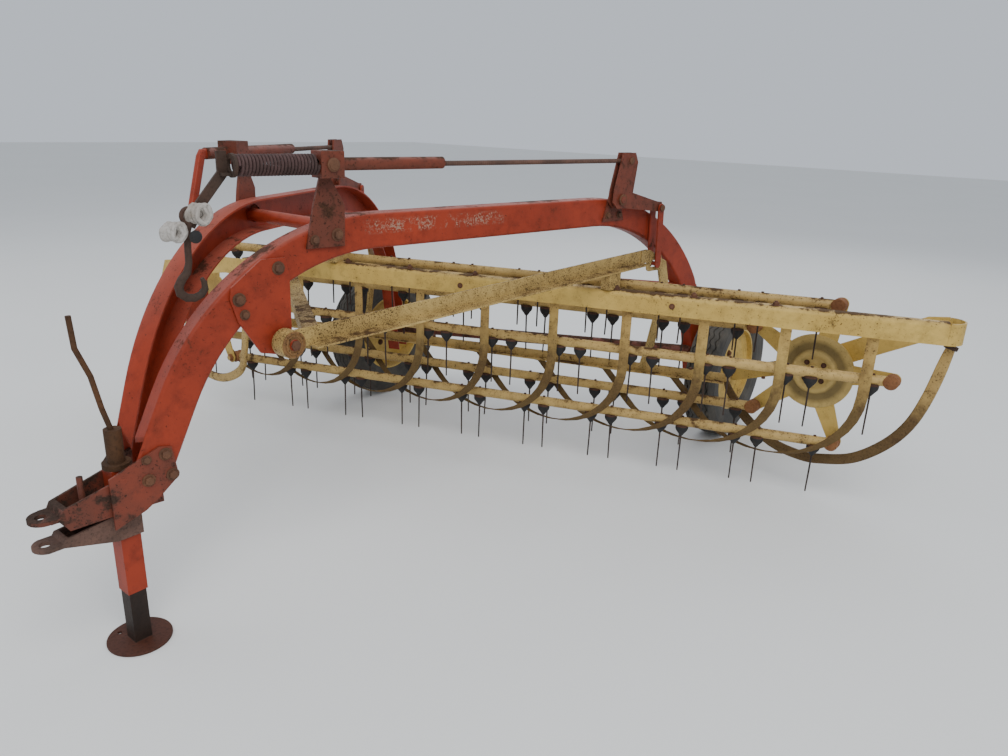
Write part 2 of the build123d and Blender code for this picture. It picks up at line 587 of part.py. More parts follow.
# Guards round the reel's two ends
guard_line = [(1574, REEL_Z + low - GUARD_THICK / 2), (1542, REEL_Z + low - GUARD_THICK / 2),
              (1532, 690), (1500, 521), (1457, 390), (1387, 287), (1287, 203), (1180, 165), (1088, 152),
              (960, 175), (840, 250), (760, 340), (rail_start + 4, rail_foot - RAIL_SIDE / 2 - GUARD_THICK / 2),
              (rail_start - 20, rail_foot - RAIL_SIDE / 2 - GUARD_THICK / 2)]
guard_x = middle_x - 4
pieces["guard_left"] = across(strip(guard_line, GUARD_THICK), guard_x - GUARD_WIDTH / 2, GUARD_WIDTH)
front_y = RIGHT_HEAD_Y
guard_line = [(end_y - 8, REEL_Z + low), (end_y - 8, 600), (front_y + 362, 486),
              (front_y + 332, 350), (front_y + 292, 253),
              (front_y + 161, 182), (front_y + 20, 166), (front_y - 120, 200), (front_y - 260, 285),
              (rail_end + 24, rail_foot - RAIL_SIDE / 2 - GUARD_THICK / 2),
              (rail_end - 6, rail_foot - RAIL_SIDE / 2 - GUARD_THICK / 2)]
guard = across(strip(guard_line, GUARD_THICK), right_face - GUARD_WIDTH - 6, GUARD_WIDTH)
pieces["guard_right"] = guard - main_beam

# Reel heads: a dished spider with one arm for each bar, and the shaft it turns on
joint_angles = [math.radians(BAR_PHASE + 360 / BAR_COUNT * number) for number in range(BAR_COUNT)]
joints = [(REEL_RADIUS * math.cos(angle), REEL_RADIUS * math.sin(angle)) for angle in joint_angles]


def spider(bore):
    face = Circle(DISH_RADIUS)
    blade = polygon([(BLADE_START, BLADE_ROOT / 2), (REEL_RADIUS, BLADE_TIP / 2),
                     (REEL_RADIUS, -BLADE_TIP / 2), (BLADE_START, -BLADE_ROOT / 2)])
    for angle in joint_angles:
        face += Rot(0, 0, math.degrees(angle)) * blade
    for y, z in joints:
        face += Pos(y, z) * Circle(BLADE_TIP / 2)
    for y, z in joints:
        face -= Pos(y, z) * Circle(bore)
    return face


ring = Circle(DISH_RING_OUTER) - Circle(DISH_RING_INNER)
heads = (("head_left", REEL_X, REEL_Y, -1, BAR_PIN_RADIUS + RUNNING_GAP, REEL_X - left_face + 18),
         ("head_right", RIGHT_HEAD_X, RIGHT_HEAD_Y, 1, BAR_PIN_RADIUS + FAR_PIN_GAP, RIGHT_SUPPORT_SETBACK + 18))
for name, head_x, head_y, out, bore, shaft_end in heads:
    plate_x = head_x + out * HEAD_SETBACK
    middle = Pos(head_y, REEL_Z)
    head = across(middle * spider(bore), plate_x - HEAD_PLATE / 2, HEAD_PLATE)
    ring_x = plate_x + HEAD_PLATE / 2 if out < 0 else plate_x - HEAD_PLATE / 2 - DISH_RING_HEIGHT
    head += across(middle * ring, ring_x, DISH_RING_HEIGHT)
    first = min(plate_x, head_x + out * shaft_end)
    head += across(middle * Circle(REEL_SHAFT_RADIUS), first, shaft_end - HEAD_SETBACK)
    pieces[name] = head

# Bars: the joints' axes run along the travel, and each tube slants across it between two end knuckles
tine_places = [FIRST_TINE]
for number in range(PAIR_COUNT):
    tine_places.append(PAIR_START + PAIR_PITCH * number)
    tine_places.append(PAIR_START + PAIR_PITCH * number + PAIR_GAP)
tine_places.append(LAST_TINE)

bar_turn = Plane(origin=(0, 0, 0), x_dir=(0, 0, 1), z_dir=BAR_DIRECTION)
bar_tube = bar_turn * Cylinder(BAR_RADIUS, REEL_LENGTH, align=(Align.CENTER, Align.CENTER, Align.MIN))
knuckles = []
for end_x, end_y, out in ((0, 0, -1), (REEL_LENGTH_X, REEL_LENGTH_Y, 1)):
    place = Plane(origin=(end_x, end_y, 0), z_dir=(out, 0, 0))
    knuckle = place * Cylinder(KNUCKLE_RADIUS, KNUCKLE_LENGTH)
    knuckle += place * Cylinder(BAR_PIN_RADIUS, BAR_PIN_END, align=(Align.CENTER, Align.CENTER, Align.MIN))
    knuckles.append(knuckle)
    bar_tube -= place * Cylinder(KNUCKLE_RADIUS + SEAT_GAP, 4 * KNUCKLE_LENGTH)
mount = Pos(0, 0, -MOUNT_DROP) * extrude(RegularPolygon(MOUNT_RADIUS - MOUNT_TAPER, 6), MOUNT_DROP - MOUNT_TOP,
                                         taper=-math.degrees(math.atan(MOUNT_TAPER / (MOUNT_DROP - MOUNT_TOP))))
mount -= bar_turn * Cylinder(BAR_RADIUS, 200)
tine = mount + Pos(0, 0, -TINE_DROP) * extrude(RegularPolygon(TINE_RADIUS, 6), TINE_DROP - MOUNT_DROP)
for number, (y, z) in enumerate(joints):
    place = Pos(REEL_X, REEL_Y + y, REEL_Z + z)
    bar = [place * bar_tube, place * knuckles[0], place * knuckles[1]]
    pieces["tooth_bar_%d" % (number + 1)] = Compound(children=bar)
    row = []
    for distance in tine_places:
        x_step = distance * BAR_DIRECTION[0]
        y_step = distance * BAR_DIRECTION[1]
        row.append(place * Pos(x_step, y_step, 0) * tine)
    pieces["tines_%d" % (number + 1)] = Compound(children=row)


# Basket hinge: plates hanging from the beams, with pins for the arms' hubs
def arm_bottom(along):
    return ARM_FRONT_Z + (along - ARM_FRONT) * ARM_SLOPE


for side in SIDES:
    out = side["out"]
    name = side["name"]
    pivot_along = -PIVOT_X / math.cos(math.radians(side["angle"]))
    on_face = at_side(side, pivot_along, PIVOT_Z, PIVOT_PLATE)
    outline = [(pivot_along - 132, 982), (pivot_along - 43, 1049), (pivot_along + 27, 1049),
               (pivot_along + 38, 999), (pivot_along + 36, 840), (pivot_along, 775),
               (pivot_along - 60, 790), (pivot_along - 120, 888), (pivot_along - 138, 951)]
    plate = in_side(side, polygon(outline), 0, PIVOT_PLATE)
    hub_from = abs(on_face.Y) + PIVOT_HUB_RADIUS * math.tan(math.radians(side["angle"])) + 6
    axis = Plane(origin=(PIVOT_X, 0, PIVOT_Z), x_dir=(1, 0, 0), z_dir=(0, out, 0))
    pin_length = hub_from + PIVOT_HUB_LENGTH + 8 - HITCH_HALF_WIDTH
    pin = axis * Pos(0, 0, HITCH_HALF_WIDTH) * Cylinder(PIVOT_PIN_RADIUS, pin_length,
                                                        align=(Align.CENTER, Align.CENTER, Align.MIN))
    inside = in_side(side, Pos(pivot_along, PIVOT_Z) * Rectangle(900, 900), -400, 0)
    pieces["pivot_plate_" + name] = (plate + pin) - inside
    hub = axis * Pos(0, 0, hub_from) * Cylinder(PIVOT_HUB_RADIUS, PIVOT_HUB_LENGTH,
                                                align=(Align.CENTER, Align.CENTER, Align.MIN))
    bore = axis * Cylinder(PIVOT_PIN_RADIUS + RUNNING_GAP, 1600)
    start = side["arm_out"]
    end = side["arm_end"]
    upright = polygon([(ARM_FRONT, arm_bottom(ARM_FRONT)), (end, arm_bottom(end)),
                       (end, arm_bottom(end) + ARM_SIDE), (ARM_FRONT, arm_bottom(ARM_FRONT) + ARM_SIDE)])
    flat_from = ARM_FRONT + 60
    flat_to = end - 40
    flat = polygon([(flat_from, arm_bottom(flat_from)), (flat_to, arm_bottom(flat_to)),
                    (flat_to, arm_bottom(flat_to) + ARM_WALL), (flat_from, arm_bottom(flat_from) + ARM_WALL)])
    arm = in_side(side, upright, start, start + ARM_WALL)
    arm += in_side(side, flat, start + ARM_WALL, start + ARM_SIDE)
    arm += hub
    # Seat on the main beam where the arm crosses it
    beam_x, beam_y = along_reel(0, MAIN_OUT - MAIN_WIDTH / 2)
    near = side_plane(side).to_local_coords(Vector(beam_x, beam_y, 0))
    far = side_plane(side).to_local_coords(Vector(beam_x + BAR_DIRECTION[0], beam_y + BAR_DIRECTION[1], 0))
    middle_out = out * (start + ARM_SIDE / 2)
    share = (middle_out - near.Z) / (far.Z - near.Z)
    cross = near.X + share * (far.X - near.X)
    seat = polygon([(cross - 34, REEL_Z + high), (cross + 34, REEL_Z + high),
                    (cross + 34, arm_bottom(cross + 34)), (cross - 34, arm_bottom(cross - 34))])
    arm += in_side(side, seat, start + 6, start + ARM_SIDE - 6)
    # Curved strap down from the arm's rear end to the back rail
    rail_x, rail_y = along_reel(0, RAIL_OUT)
    near = side_plane(side).to_local_coords(Vector(rail_x, rail_y, 0))
    far = side_plane(side).to_local_coords(Vector(rail_x + BAR_DIRECTION[0], rail_y + BAR_DIRECTION[1], 0))
    share = (out * (start + BACK_STRAP_THICK / 2) - near.Z) / (far.Z - near.Z)
    rail_along = near.X + share * (far.X - near.X)
    up = arm_bottom(end) + ARM_SIDE / 2
    line = [(end - 40, up - 2), (end + 10, up - 2), (rail_along + 70, up - 52), (rail_along + 96, up - 130),
            (rail_along + 84, up - 240), (rail_along + 40, rail_foot + 100), (rail_along, rail_foot)]
    arm += in_side(side, strip(line, BACK_STRAP_WIDTH), start, start + BACK_STRAP_THICK)
    arm -= bore
    arm -= rear_rail
    # Slotted hole where the lift link takes hold
    lift_along = side["crank"] + side["crank_arm"] + LINK_BACK
    lift_z = CRANK_Z - CRANK_ARM_DROP - LINK_DROP
    lug = Pos(lift_along, lift_z + 4) * RectangleRounded(2 * SLOT_HALF + 56, 2 * SLOT_RADIUS + 40, 18)
    slot = Pos(lift_along, lift_z) * SlotCenterToCenter(2 * (SLOT_HALF - 8), 2 * SLOT_RADIUS)
    arm += in_side(side, lug, start, start + ARM_WALL)
    slot_cut = in_side(side, slot, start - 20, start + 34)
    arm -= slot_cut
    pieces["arm_" + name] = arm

# Channel from the left arm's front end across to the main beam
first = at_side(LEFT, ARM_FRONT + 75, arm_bottom(ARM_FRONT + 75) + 10, LEFT["arm_out"])
beam_x, beam_y = along_reel(REEL_LENGTH * 0.826, MAIN_OUT - 10)
last = Vector(beam_x, beam_y, REEL_Z + low + 46)
run = last - first
strut_plane = Plane(origin=first, x_dir=(0, 0, 1), z_dir=run)
strut_face = Rectangle(STRUT_HEIGHT, STRUT_WIDTH) - Pos(-STRUT_WALL, 0) * Rectangle(
    STRUT_HEIGHT, STRUT_WIDTH - 2 * STRUT_WALL)
strut = strut_plane * extrude(strut_face, run.length)
left_outside = in_side(LEFT, Pos(ARM_FRONT, PIVOT_Z) * Rectangle(900, 900), LEFT["arm_out"], 500)
whole_beam = along_bars(beam_section, 2000, 2600)
pieces["strut"] = strut - left_outside - whole_beam - pieces["arm_right"]

# Lift gear: spring, cover tube and threaded rod on a post, bell crank and links behind
for side in SIDES:
    name = side["name"]
    post = side["post"]
    crank = side["crank"]
    gear_out = side["arm_out"] + ARM_WALL / 2
    pin_along = crank + side["crank_pin"]
    base = polygon([(post - 65, 1066), (post + 58, 1066), (post + 61, 1182), (post + 16, 1262),
                    (post - 16, 1262), (post - 40, 1182)])
    block = Pos(post, ROD_Z) * Rectangle(72, 72)
    stand = in_side(side, base, 0, 10) + in_side(side, block, 0, gear_out + 27)
    rod_axis = Plane(origin=at_side(side, post, ROD_Z, gear_out), x_dir=(0, 0, 1),
                     z_dir=side_plane(side).x_dir)
    stand -= rod_axis * Cylinder(COVER_BORE, 400)
    pieces["lift_post_" + name] = stand
    cover_start = 36
    tube = Cylinder(COVER_RADIUS, COVER_LENGTH, align=(Align.CENTER, Align.CENTER, Align.MIN))
    tube -= Cylinder(COVER_BORE, 3 * COVER_LENGTH)
    pieces["rod_cover_" + name] = rod_axis * Pos(0, 0, cover_start) * tube
    # Stand for the bell crank with its shaft
    stand = in_side(side, polygon([(crank - 62, 1064), (crank + 66, 1064), (crank + 26, CRANK_Z + 24),
                                   (crank - 26, CRANK_Z + 24)]), 0, CRANK_PLATE)
    stand += in_side(side, Pos(crank, CRANK_Z) * Circle(CRANK_SHAFT_RADIUS), 0, gear_out + 26)
    pieces["crank_stand_" + name] = stand
    # Bell crank: two plates on one boss, pins for the rod and for the links
    arm_tip = (crank + side["crank_arm"], CRANK_Z - CRANK_ARM_DROP)
    top = (pin_along, CRANK_Z + CRANK_PIN_UP)
    shape = polygon([(crank - 46, CRANK_Z + 36), (top[0] - 52, top[1] + 30), (top[0] + 22, top[1] + 30),
                     (top[0] + 40, top[1] - 6), (crank + 66, CRANK_Z + 24),
                     (arm_tip[0] - 20, arm_tip[1] + 26), (arm_tip[0] + 8, arm_tip[1] + 24),
                     (arm_tip[0] + 22, arm_tip[1]), (arm_tip[0] + 6, arm_tip[1] - 16),
                     (crank + 20, CRANK_Z - 34), (crank - 24, CRANK_Z - 34), (crank - 50, CRANK_Z - 10)])
    shape -= Pos(crank, CRANK_Z) * Circle(CRANK_SHAFT_RADIUS + RUNNING_GAP)
    inner = gear_out - CRANK_GAP / 2
    outer = gear_out + CRANK_GAP / 2
    bell = in_side(side, shape, inner - CRANK_PLATE, inner)
    bell += in_side(side, shape, outer, outer + CRANK_PLATE)
    boss = Pos(crank, CRANK_Z) * (Circle(28) - Circle(CRANK_SHAFT_RADIUS + RUNNING_GAP))
    bell += in_side(side, boss, inner - CRANK_PLATE, outer + CRANK_PLATE)
    bell += in_side(side, Pos(*top) * Circle(8), inner - CRANK_PLATE, outer + CRANK_PLATE)
    bell += in_side(side, Pos(*arm_tip) * Circle(LINK_PIN_RADIUS), gear_out - LINK_GAP / 2 - LINK_PLATE - 2,
                    gear_out + LINK_GAP / 2 + LINK_PLATE + 4)
    pieces["bell_crank_" + name] = bell
    # Threaded rod with its eye between the crank's plates
    eye = in_side(side, Pos(*top) * (Circle(ROD_EYE_RADIUS) - Circle(8 + RUNNING_GAP)),
                  inner + 2, outer - 2)
    rod_from = post - side["rod_front"]
    rod_length = pin_along - ROD_EYE_RADIUS - SEAT_GAP - rod_from
    rod_line = Plane(origin=at_side(side, rod_from, top[1], gear_out), x_dir=(0, 0, 1),
                     z_dir=side_plane(side).x_dir)
    rod = rod_line * Cylinder(ROD_RADIUS, rod_length, align=(Align.CENTER, Align.CENTER, Align.MIN))
    pieces["lift_rod_" + name] = Compound(children=[eye, rod])
    # Pair of straps down to the arm
    foot = (arm_tip[0] + LINK_BACK, arm_tip[1] - LINK_DROP)
    strap = strip([arm_tip, foot], LINK_WIDTH)
    strap += Pos(*arm_tip) * Circle(LINK_WIDTH / 2) + Pos(*foot) * Circle(LINK_WIDTH / 2)
    strap -= Pos(*arm_tip) * Circle(LINK_PIN_RADIUS + RUNNING_GAP)
    near_out = gear_out - LINK_GAP / 2
    far_out = gear_out + LINK_GAP / 2
    link = in_side(side, strap, near_out - LINK_PLATE, near_out)
    link += in_side(side, strap, far_out, far_out + LINK_PLATE)
    link += in_side(side, Pos(*foot) * Circle(LINK_PIN_RADIUS), near_out, far_out)
    pieces["lift_link_" + name] = link

# Coil spring with its strap in front of the left post, hand crank in front of the right one
gear_out = LEFT["arm_out"] + ARM_WALL / 2
spring_from = LEFT["post"] - 36 - SPRING_LENGTH
points = [(SPRING_INNER, 0)]
pitch = SPRING_LENGTH / SPRING_COILS
for coil in range(SPRING_COILS):
    points.append((SPRING_RADIUS - 6, pitch * coil))
    points.append((SPRING_RADIUS, pitch * (coil + 0.5)))
points.append((SPRING_RADIUS - 6, SPRING_LENGTH))
points.append((SPRING_INNER, SPRING_LENGTH))
spring_axis = Plane(origin=at_side(LEFT, spring_from, ROD_Z, gear_out), x_dir=(0, 0, 1),
                    z_dir=side_plane(LEFT).x_dir)
pieces["spring"] = spring_axis * revolve(Plane.XZ * polygon(points), Axis.Z)
hook = strip([(spring_from - 4, ROD_Z + 34), (spring_from - 4, ROD_Z - 20), (spring_from - 66, 1204),
              (spring_from - 98, 1150)], 26)
washer = Cylinder(SPRING_RADIUS, 8, align=(Align.CENTER, Align.CENTER, Align.MIN))
washer = spring_axis * Pos(0, 0, -8) * (washer - Cylinder(SPRING_INNER - 4, 40))
pieces["spring_strap"] = washer + in_side(LEFT, Pos(-17, 0) * hook, gear_out - 26, gear_out - 18) + in_side(
    LEFT, polygon([(spring_from - 30, ROD_Z - 26), (spring_from, ROD_Z - 26), (spring_from, ROD_Z - 18),
                   (spring_from - 30, ROD_Z - 18)]), gear_out - 26, gear_out)
gear_out = RIGHT["arm_out"] + ARM_WALL / 2
right_axis = Plane(origin=at_side(RIGHT, RIGHT["post"], ROD_Z, gear_out), x_dir=(0, 0, 1),
                   z_dir=side_plane(RIGHT).x_dir)
handle_from = RIGHT["post"] - 166
crank_tube = right_axis * Pos(0, 0, -140) * (
    Cylinder(COVER_RADIUS, 104, align=(Align.CENTER, Align.CENTER, Align.MIN)) - Cylinder(COVER_BORE, 400))
crank_cap = right_axis * Pos(0, 0, -146) * Cylinder(COVER_RADIUS, 6,
                                                    align=(Align.CENTER, Align.CENTER, Align.MIN))
first = at_side(RIGHT, handle_from + 20, ROD_Z, gear_out)
turn_down = at_side(RIGHT, handle_from, ROD_Z, gear_out)
grip_end = at_side(RIGHT, handle_from - 76, ROD_Z - 176, gear_out)
handle = rod_between(tuple(first), tuple(turn_down), JACK_ROD_RADIUS)
handle += Pos(*turn_down) * Sphere(JACK_ROD_RADIUS)
handle += rod_between(tuple(turn_down), tuple(grip_end), JACK_ROD_RADIUS)
pieces["lift_handle"] = crank_tube + crank_cap + handle

# The origin goes to the floor under the middle of the outline
whole = Compound(children=[Compound(children=list(shape.solids())) for shape in pieces.values()])
box = whole.bounding_box()
shift = Pos(-(box.min.X + box.max.X) / 2, -(box.min.Y + box.max.Y) / 2, 0)
os.makedirs("parts", exist_ok=True)
for name, shape in pieces.items():
    export_step(shift * shape, "parts/" + name + ".step")
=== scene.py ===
import bmesh
import bpy
import math
from mathutils import Matrix, Vector


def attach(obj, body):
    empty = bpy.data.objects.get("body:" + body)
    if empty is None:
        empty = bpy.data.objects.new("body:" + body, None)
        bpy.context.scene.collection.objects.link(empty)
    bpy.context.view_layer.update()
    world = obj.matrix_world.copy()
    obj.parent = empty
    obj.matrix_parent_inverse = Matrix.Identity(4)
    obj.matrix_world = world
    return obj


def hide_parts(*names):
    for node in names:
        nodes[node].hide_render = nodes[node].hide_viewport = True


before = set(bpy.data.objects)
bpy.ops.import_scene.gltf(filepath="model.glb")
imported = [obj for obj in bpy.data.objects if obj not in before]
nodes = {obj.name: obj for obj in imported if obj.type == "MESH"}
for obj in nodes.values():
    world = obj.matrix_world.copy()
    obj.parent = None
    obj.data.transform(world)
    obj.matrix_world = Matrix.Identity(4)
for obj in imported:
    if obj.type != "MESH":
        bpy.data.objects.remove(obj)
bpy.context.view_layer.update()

# The source was drawn with the jack at x = y = 0; this takes its places to the row frame
SHIFT = Vector((1.376, 0.171751, 0.0))
BEAM_Y = 0.060
LEFT = dict(name="left", out=1, angle=8.5, post=0.600, crank=1.8768, pin=0.0432, reach=0.2532,
            gear=0.029, wheel=(-2.650, 0.566))
RIGHT = dict(name="right", out=-1, angle=25.0, post=0.770, crank=1.5313, pin=0.0307, reach=0.2407,
             gear=0.041, wheel=(-1.945, -1.062))
SIDES = (LEFT, RIGHT)
ROD_Z = 1.297
REEL = Vector((-2.198, 1.093, 0.526))
REEL_RUN = Vector((0.942, -2.605, 0.0))
ALONG = REEL_RUN.normalized()
OUTWARD = Vector((-ALONG.y, ALONG.x, 0.0))
JOINT_RADIUS = 0.289
BAR_PHASE = 6.3
JOINTS = [(JOINT_RADIUS * math.cos(math.radians(BAR_PHASE + 72 * k)),
           JOINT_RADIUS * math.sin(math.radians(BAR_PHASE + 72 * k))) for k in range(5)]
PAIR_PITCH = 0.300
PAIR_STEP = 0.0875
HOOP_START = 0.173
ARM_HINGE = (-0.435, 0.815)
HUB_LENGTH = 0.046
CRANK_Z = 1.150
CRANK_PIN_Z = 1.2945
TYRE_RADIUS = 0.330
SPRING_LENGTH = 0.235
SPRING_RADIUS = 0.0245


def side_axes(side):
    turn = math.radians(side["angle"])
    out = side["out"]
    back = Vector((-math.cos(turn), out * math.sin(turn), 0))
    outward = Vector((math.sin(turn), out * math.cos(turn), 0))
    return back, outward


def at_side(side, along, up, outward):
    back, normal = side_axes(side)
    return SHIFT + Vector((0, side["out"] * BEAM_Y, up)) + back * along + normal * outward


def at_reel(distance, outward=0.0, up=0.0):
    return SHIFT + REEL + ALONG * distance + OUTWARD * outward + Vector((0, 0, up))


def place(x, y, z):
    return SHIFT + Vector((x, y, z))


def hinge_hub(side, reach):
    # A point on the arm's hinge, reach past the hub's inner end
    turn = math.radians(side["angle"])
    inner = BEAM_Y - ARM_HINGE[0] * math.tan(turn) + 0.008 / math.cos(turn) + 0.040 * math.tan(turn) + 0.006
    return place(ARM_HINGE[0], side["out"] * (inner + reach), ARM_HINGE[1])


# Materials
def new_material(name):
    material = bpy.data.materials.new(name)
    material.use_nodes = True
    tree = material.node_tree
    shader = tree.nodes["Principled BSDF"]
    return material, tree, shader


def add(tree, kind, **values):
    node = tree.nodes.new(kind)
    for key, value in values.items():
        setattr(node, key, value)
    return node


def noise(tree, coords, scale, detail=4.0, rough=0.6, stretch=None):
    if stretch is not None:
        mapping = add(tree, "ShaderNodeMapping")
        mapping.inputs["Scale"].default_value = stretch
        tree.links.new(coords, mapping.inputs["Vector"])
        coords = mapping.outputs["Vector"]
    node = add(tree, "ShaderNodeTexNoise")
    node.inputs["Scale"].default_value = scale
    node.inputs["Detail"].default_value = detail
    node.inputs["Roughness"].default_value = rough
    tree.links.new(coords, node.inputs["Vector"])
    return node.outputs["Fac"]


def ramp(tree, value, low, high):
    node = add(tree, "ShaderNodeMapRange")
    node.inputs["From Min"].default_value = low
    node.inputs["From Max"].default_value = high
    tree.links.new(value, node.inputs["Value"])
    return node.outputs["Result"]


def math_node(tree, operation, first, second):
    node = add(tree, "ShaderNodeMath", operation=operation)
    node.use_clamp = True
    for index, value in enumerate((first, second)):
        if isinstance(value, (int, float)):
            node.inputs[index].default_value = value
        else:
            tree.links.new(value, node.inputs[index])
    return node.outputs[0]


def mix(tree, amount, first, second):
    node = add(tree, "ShaderNodeMix", data_type="RGBA")
    if isinstance(amount, (int, float)):
        node.inputs[0].default_value = amount
    else:
        tree.links.new(amount, node.inputs[0])
    for socket, value in ((node.inputs[6], first), (node.inputs[7], second)):
        if isinstance(value, tuple):
            socket.default_value = (value[0], value[1], value[2], 1.0)
        else:
            tree.links.new(value, socket)
    return node.outputs[2]


def place_coords(tree):
    return add(tree, "ShaderNodeTexCoord").outputs["Object"]


def bump(tree, shader, value, depth, strength=0.6):
    node = add(tree, "ShaderNodeBump")
    node.inputs["Strength"].default_value = strength
    node.inputs["Distance"].default_value = depth
    tree.links.new(value, node.inputs["Height"])
    tree.links.new(node.outputs["Normal"], shader.inputs["Normal"])


def height_mask(tree, coords, value, full, none):
    # 1 at the height called full and 0 at the height called none, with a ragged edge
    split = add(tree, "ShaderNodeSeparateXYZ")
    tree.links.new(coords, split.inputs[0])
    ragged = math_node(tree, "MULTIPLY", value, abs(none - full) * 1.2)
    height = math_node(tree, "SUBTRACT", split.outputs["Z"], ragged)
    return ramp(tree, height, none, full)


def painted(name, light, dark, rust, rust_amount, chip_amount, chip_colour, top_rust, gloss=0.55,
            speck_amount=None, top_colour=None, low=None, ring=None, speck_scale=150.0, scuff=None):
    # Weathered paint: fading, speckled rust, rust patches and streaks, worn tops, and chips.
    # low is the two heights between which it turns brown; ring is a middle, two radii and a colour;
    # scuff is the lengths and heights between which the paint is scratched through
    speck_amount = rust_amount * 0.5 if speck_amount is None else speck_amount
    material, tree, shader = new_material(name)
    coords = place_coords(tree)
    broad = noise(tree, coords, 3.0)
    fine = noise(tree, coords, 22.0, 6.0, 0.7)
    speck = noise(tree, coords, speck_scale, 3.0, 0.7)
    streak = noise(tree, coords, 9.0, 5.0, 0.65, (1.0, 1.0, 0.25))
    colour = mix(tree, ramp(tree, broad, 0.35, 0.68), light, dark)
    colour = mix(tree, ramp(tree, fine, 0.45, 0.8), colour, tuple(c * 0.72 for c in dark))
    up = add(tree, "ShaderNodeSeparateXYZ")
    tree.links.new(add(tree, "ShaderNodeTexCoord").outputs["Normal"], up.inputs[0])
    upward = ramp(tree, up.outputs["Z"], 0.55, 0.95)
    rust_place = math_node(tree, "ADD", math_node(tree, "MULTIPLY", broad, 0.45),
                           math_node(tree, "MULTIPLY", fine, 0.55))
    rust_place = math_node(tree, "ADD", rust_place, math_node(tree, "MULTIPLY", upward, top_rust))
    patches = ramp(tree, rust_place, 0.66 - rust_amount, 0.72 - rust_amount)
    specks = ramp(tree, math_node(tree, "ADD", math_node(tree, "MULTIPLY", speck, 0.75),
                                  math_node(tree, "MULTIPLY", rust_place, 0.3)),
                  0.66 - speck_amount, 0.70 - speck_amount)
    streaks = ramp(tree, streak, 0.60, 0.80)
    rust_colour = mix(tree, ramp(tree, speck, 0.35, 0.65), rust, tuple(c * 0.4 for c in rust))
    if top_colour:
        colour = mix(tree, math_node(tree, "MULTIPLY", upward, 0.45), colour, top_colour)
    if ring:
        flat = add(tree, "ShaderNodeMapping")
        flat.inputs["Scale"].default_value = (0.0, 1.0, 1.0)
        tree.links.new(coords, flat.inputs["Vector"])
        reach = add(tree, "ShaderNodeVectorMath", operation="DISTANCE")
        reach.inputs[1].default_value = (0.0, ring[0][1], ring[0][2])
        tree.links.new(flat.outputs["Vector"], reach.inputs[0])
        wide = math_node(tree, "ADD", reach.outputs["Value"], math_node(tree, "MULTIPLY", broad, 0.02))
        inside = ramp(tree, wide, ring[1], ring[1] + 0.012)
        outside = ramp(tree, wide, ring[2] + 0.02, ring[2])
        dirt = math_node(tree, "MULTIPLY", inside, outside)
        colour = mix(tree, math_node(tree, "MULTIPLY", dirt, 0.72), colour, ring[3])
    colour = mix(tree, math_node(tree, "MULTIPLY", streaks, 0.35), colour, rust_colour)
    worn = math_node(tree, "MAXIMUM", patches, specks)
    if low:
        worn = math_node(tree, "MAXIMUM", worn, math_node(
            tree, "MULTIPLY", height_mask(tree, coords, fine, low[0], low[1]), 0.9))
    colour = mix(tree, math_node(tree, "MULTIPLY", worn, 0.9), colour, rust_colour)
    chip = add(tree, "ShaderNodeTexVoronoi")
    chip.inputs["Scale"].default_value = 26.0
    tree.links.new(coords, chip.inputs["Vector"])
    near = math_node(tree, "LESS_THAN", chip.outputs["Distance"], 0.16)
    some = math_node(tree, "GREATER_THAN", fine, 1.0 - chip_amount)
    colour = mix(tree, math_node(tree, "MULTIPLY", near, some), colour, chip_colour)
    if scuff:
        spot = add(tree, "ShaderNodeSeparateXYZ")
        tree.links.new(coords, spot.inputs[0])
        place_mask = ramp(tree, speck, 0.50, 0.56)
        for axis, edge, full in (("X", scuff[0], scuff[0] + 0.05), ("X", scuff[1], scuff[1] - 0.05),
                                 ("Z", scuff[2], scuff[2] + 0.01), ("Z", scuff[3], scuff[3] - 0.01)):
            place_mask = math_node(tree, "MULTIPLY", place_mask, ramp(tree, spot.outputs[axis], edge, full))
        place_mask = math_node(tree, "MULTIPLY", place_mask, ramp(tree, fine, 0.42, 0.56))
        colour = mix(tree, math_node(tree, "MULTIPLY", place_mask, 0.75), colour, chip_colour)
    tree.links.new(colour, shader.inputs["Base Color"])
    tree.links.new(math_node(tree, "ADD", math_node(tree, "MULTIPLY", worn, 0.35), gloss - 0.08),
                   shader.inputs["Roughness"])
    height = math_node(tree, "ADD", math_node(tree, "MULTIPLY", worn, 0.5),
                       math_node(tree, "MULTIPLY", speck, 0.5))
    bump(tree, shader, height, 0.0012)
    shader.inputs["Specular IOR Level"].default_value = 0.22
    return material


def rusty(name, first, second, rough=0.85, scale=30.0, metallic=0.0, depth=0.0012, foot=None):
    # Bare steel in two shades; foot is a height and the colour below it
    material, tree, shader = new_material(name)
    coords = place_coords(tree)
    broad = noise(tree, coords, scale * 0.3, 5.0, 0.65)
    fine = noise(tree, coords, scale * 4, 4.0, 0.7)
    colour = mix(tree, ramp(tree, broad, 0.35, 0.65), first, second)
    if foot:
        split = add(tree, "ShaderNodeSeparateXYZ")
        tree.links.new(coords, split.inputs[0])
        colour = mix(tree, math_node(tree, "LESS_THAN", split.outputs["Z"], foot[0]), colour, foot[1])
    colour = mix(tree, ramp(tree, fine, 0.5, 0.8), colour, tuple(c * 0.45 for c in second))
    tree.links.new(colour, shader.inputs["Base Color"])
    shader.inputs["Metallic"].default_value = metallic
    tree.links.new(math_node(tree, "ADD", math_node(tree, "MULTIPLY", fine, 0.2), rough - 0.1),
                   shader.inputs["Roughness"])
    bump(tree, shader, fine, depth)
    shader.inputs["Specular IOR Level"].default_value = 0.25
    return material


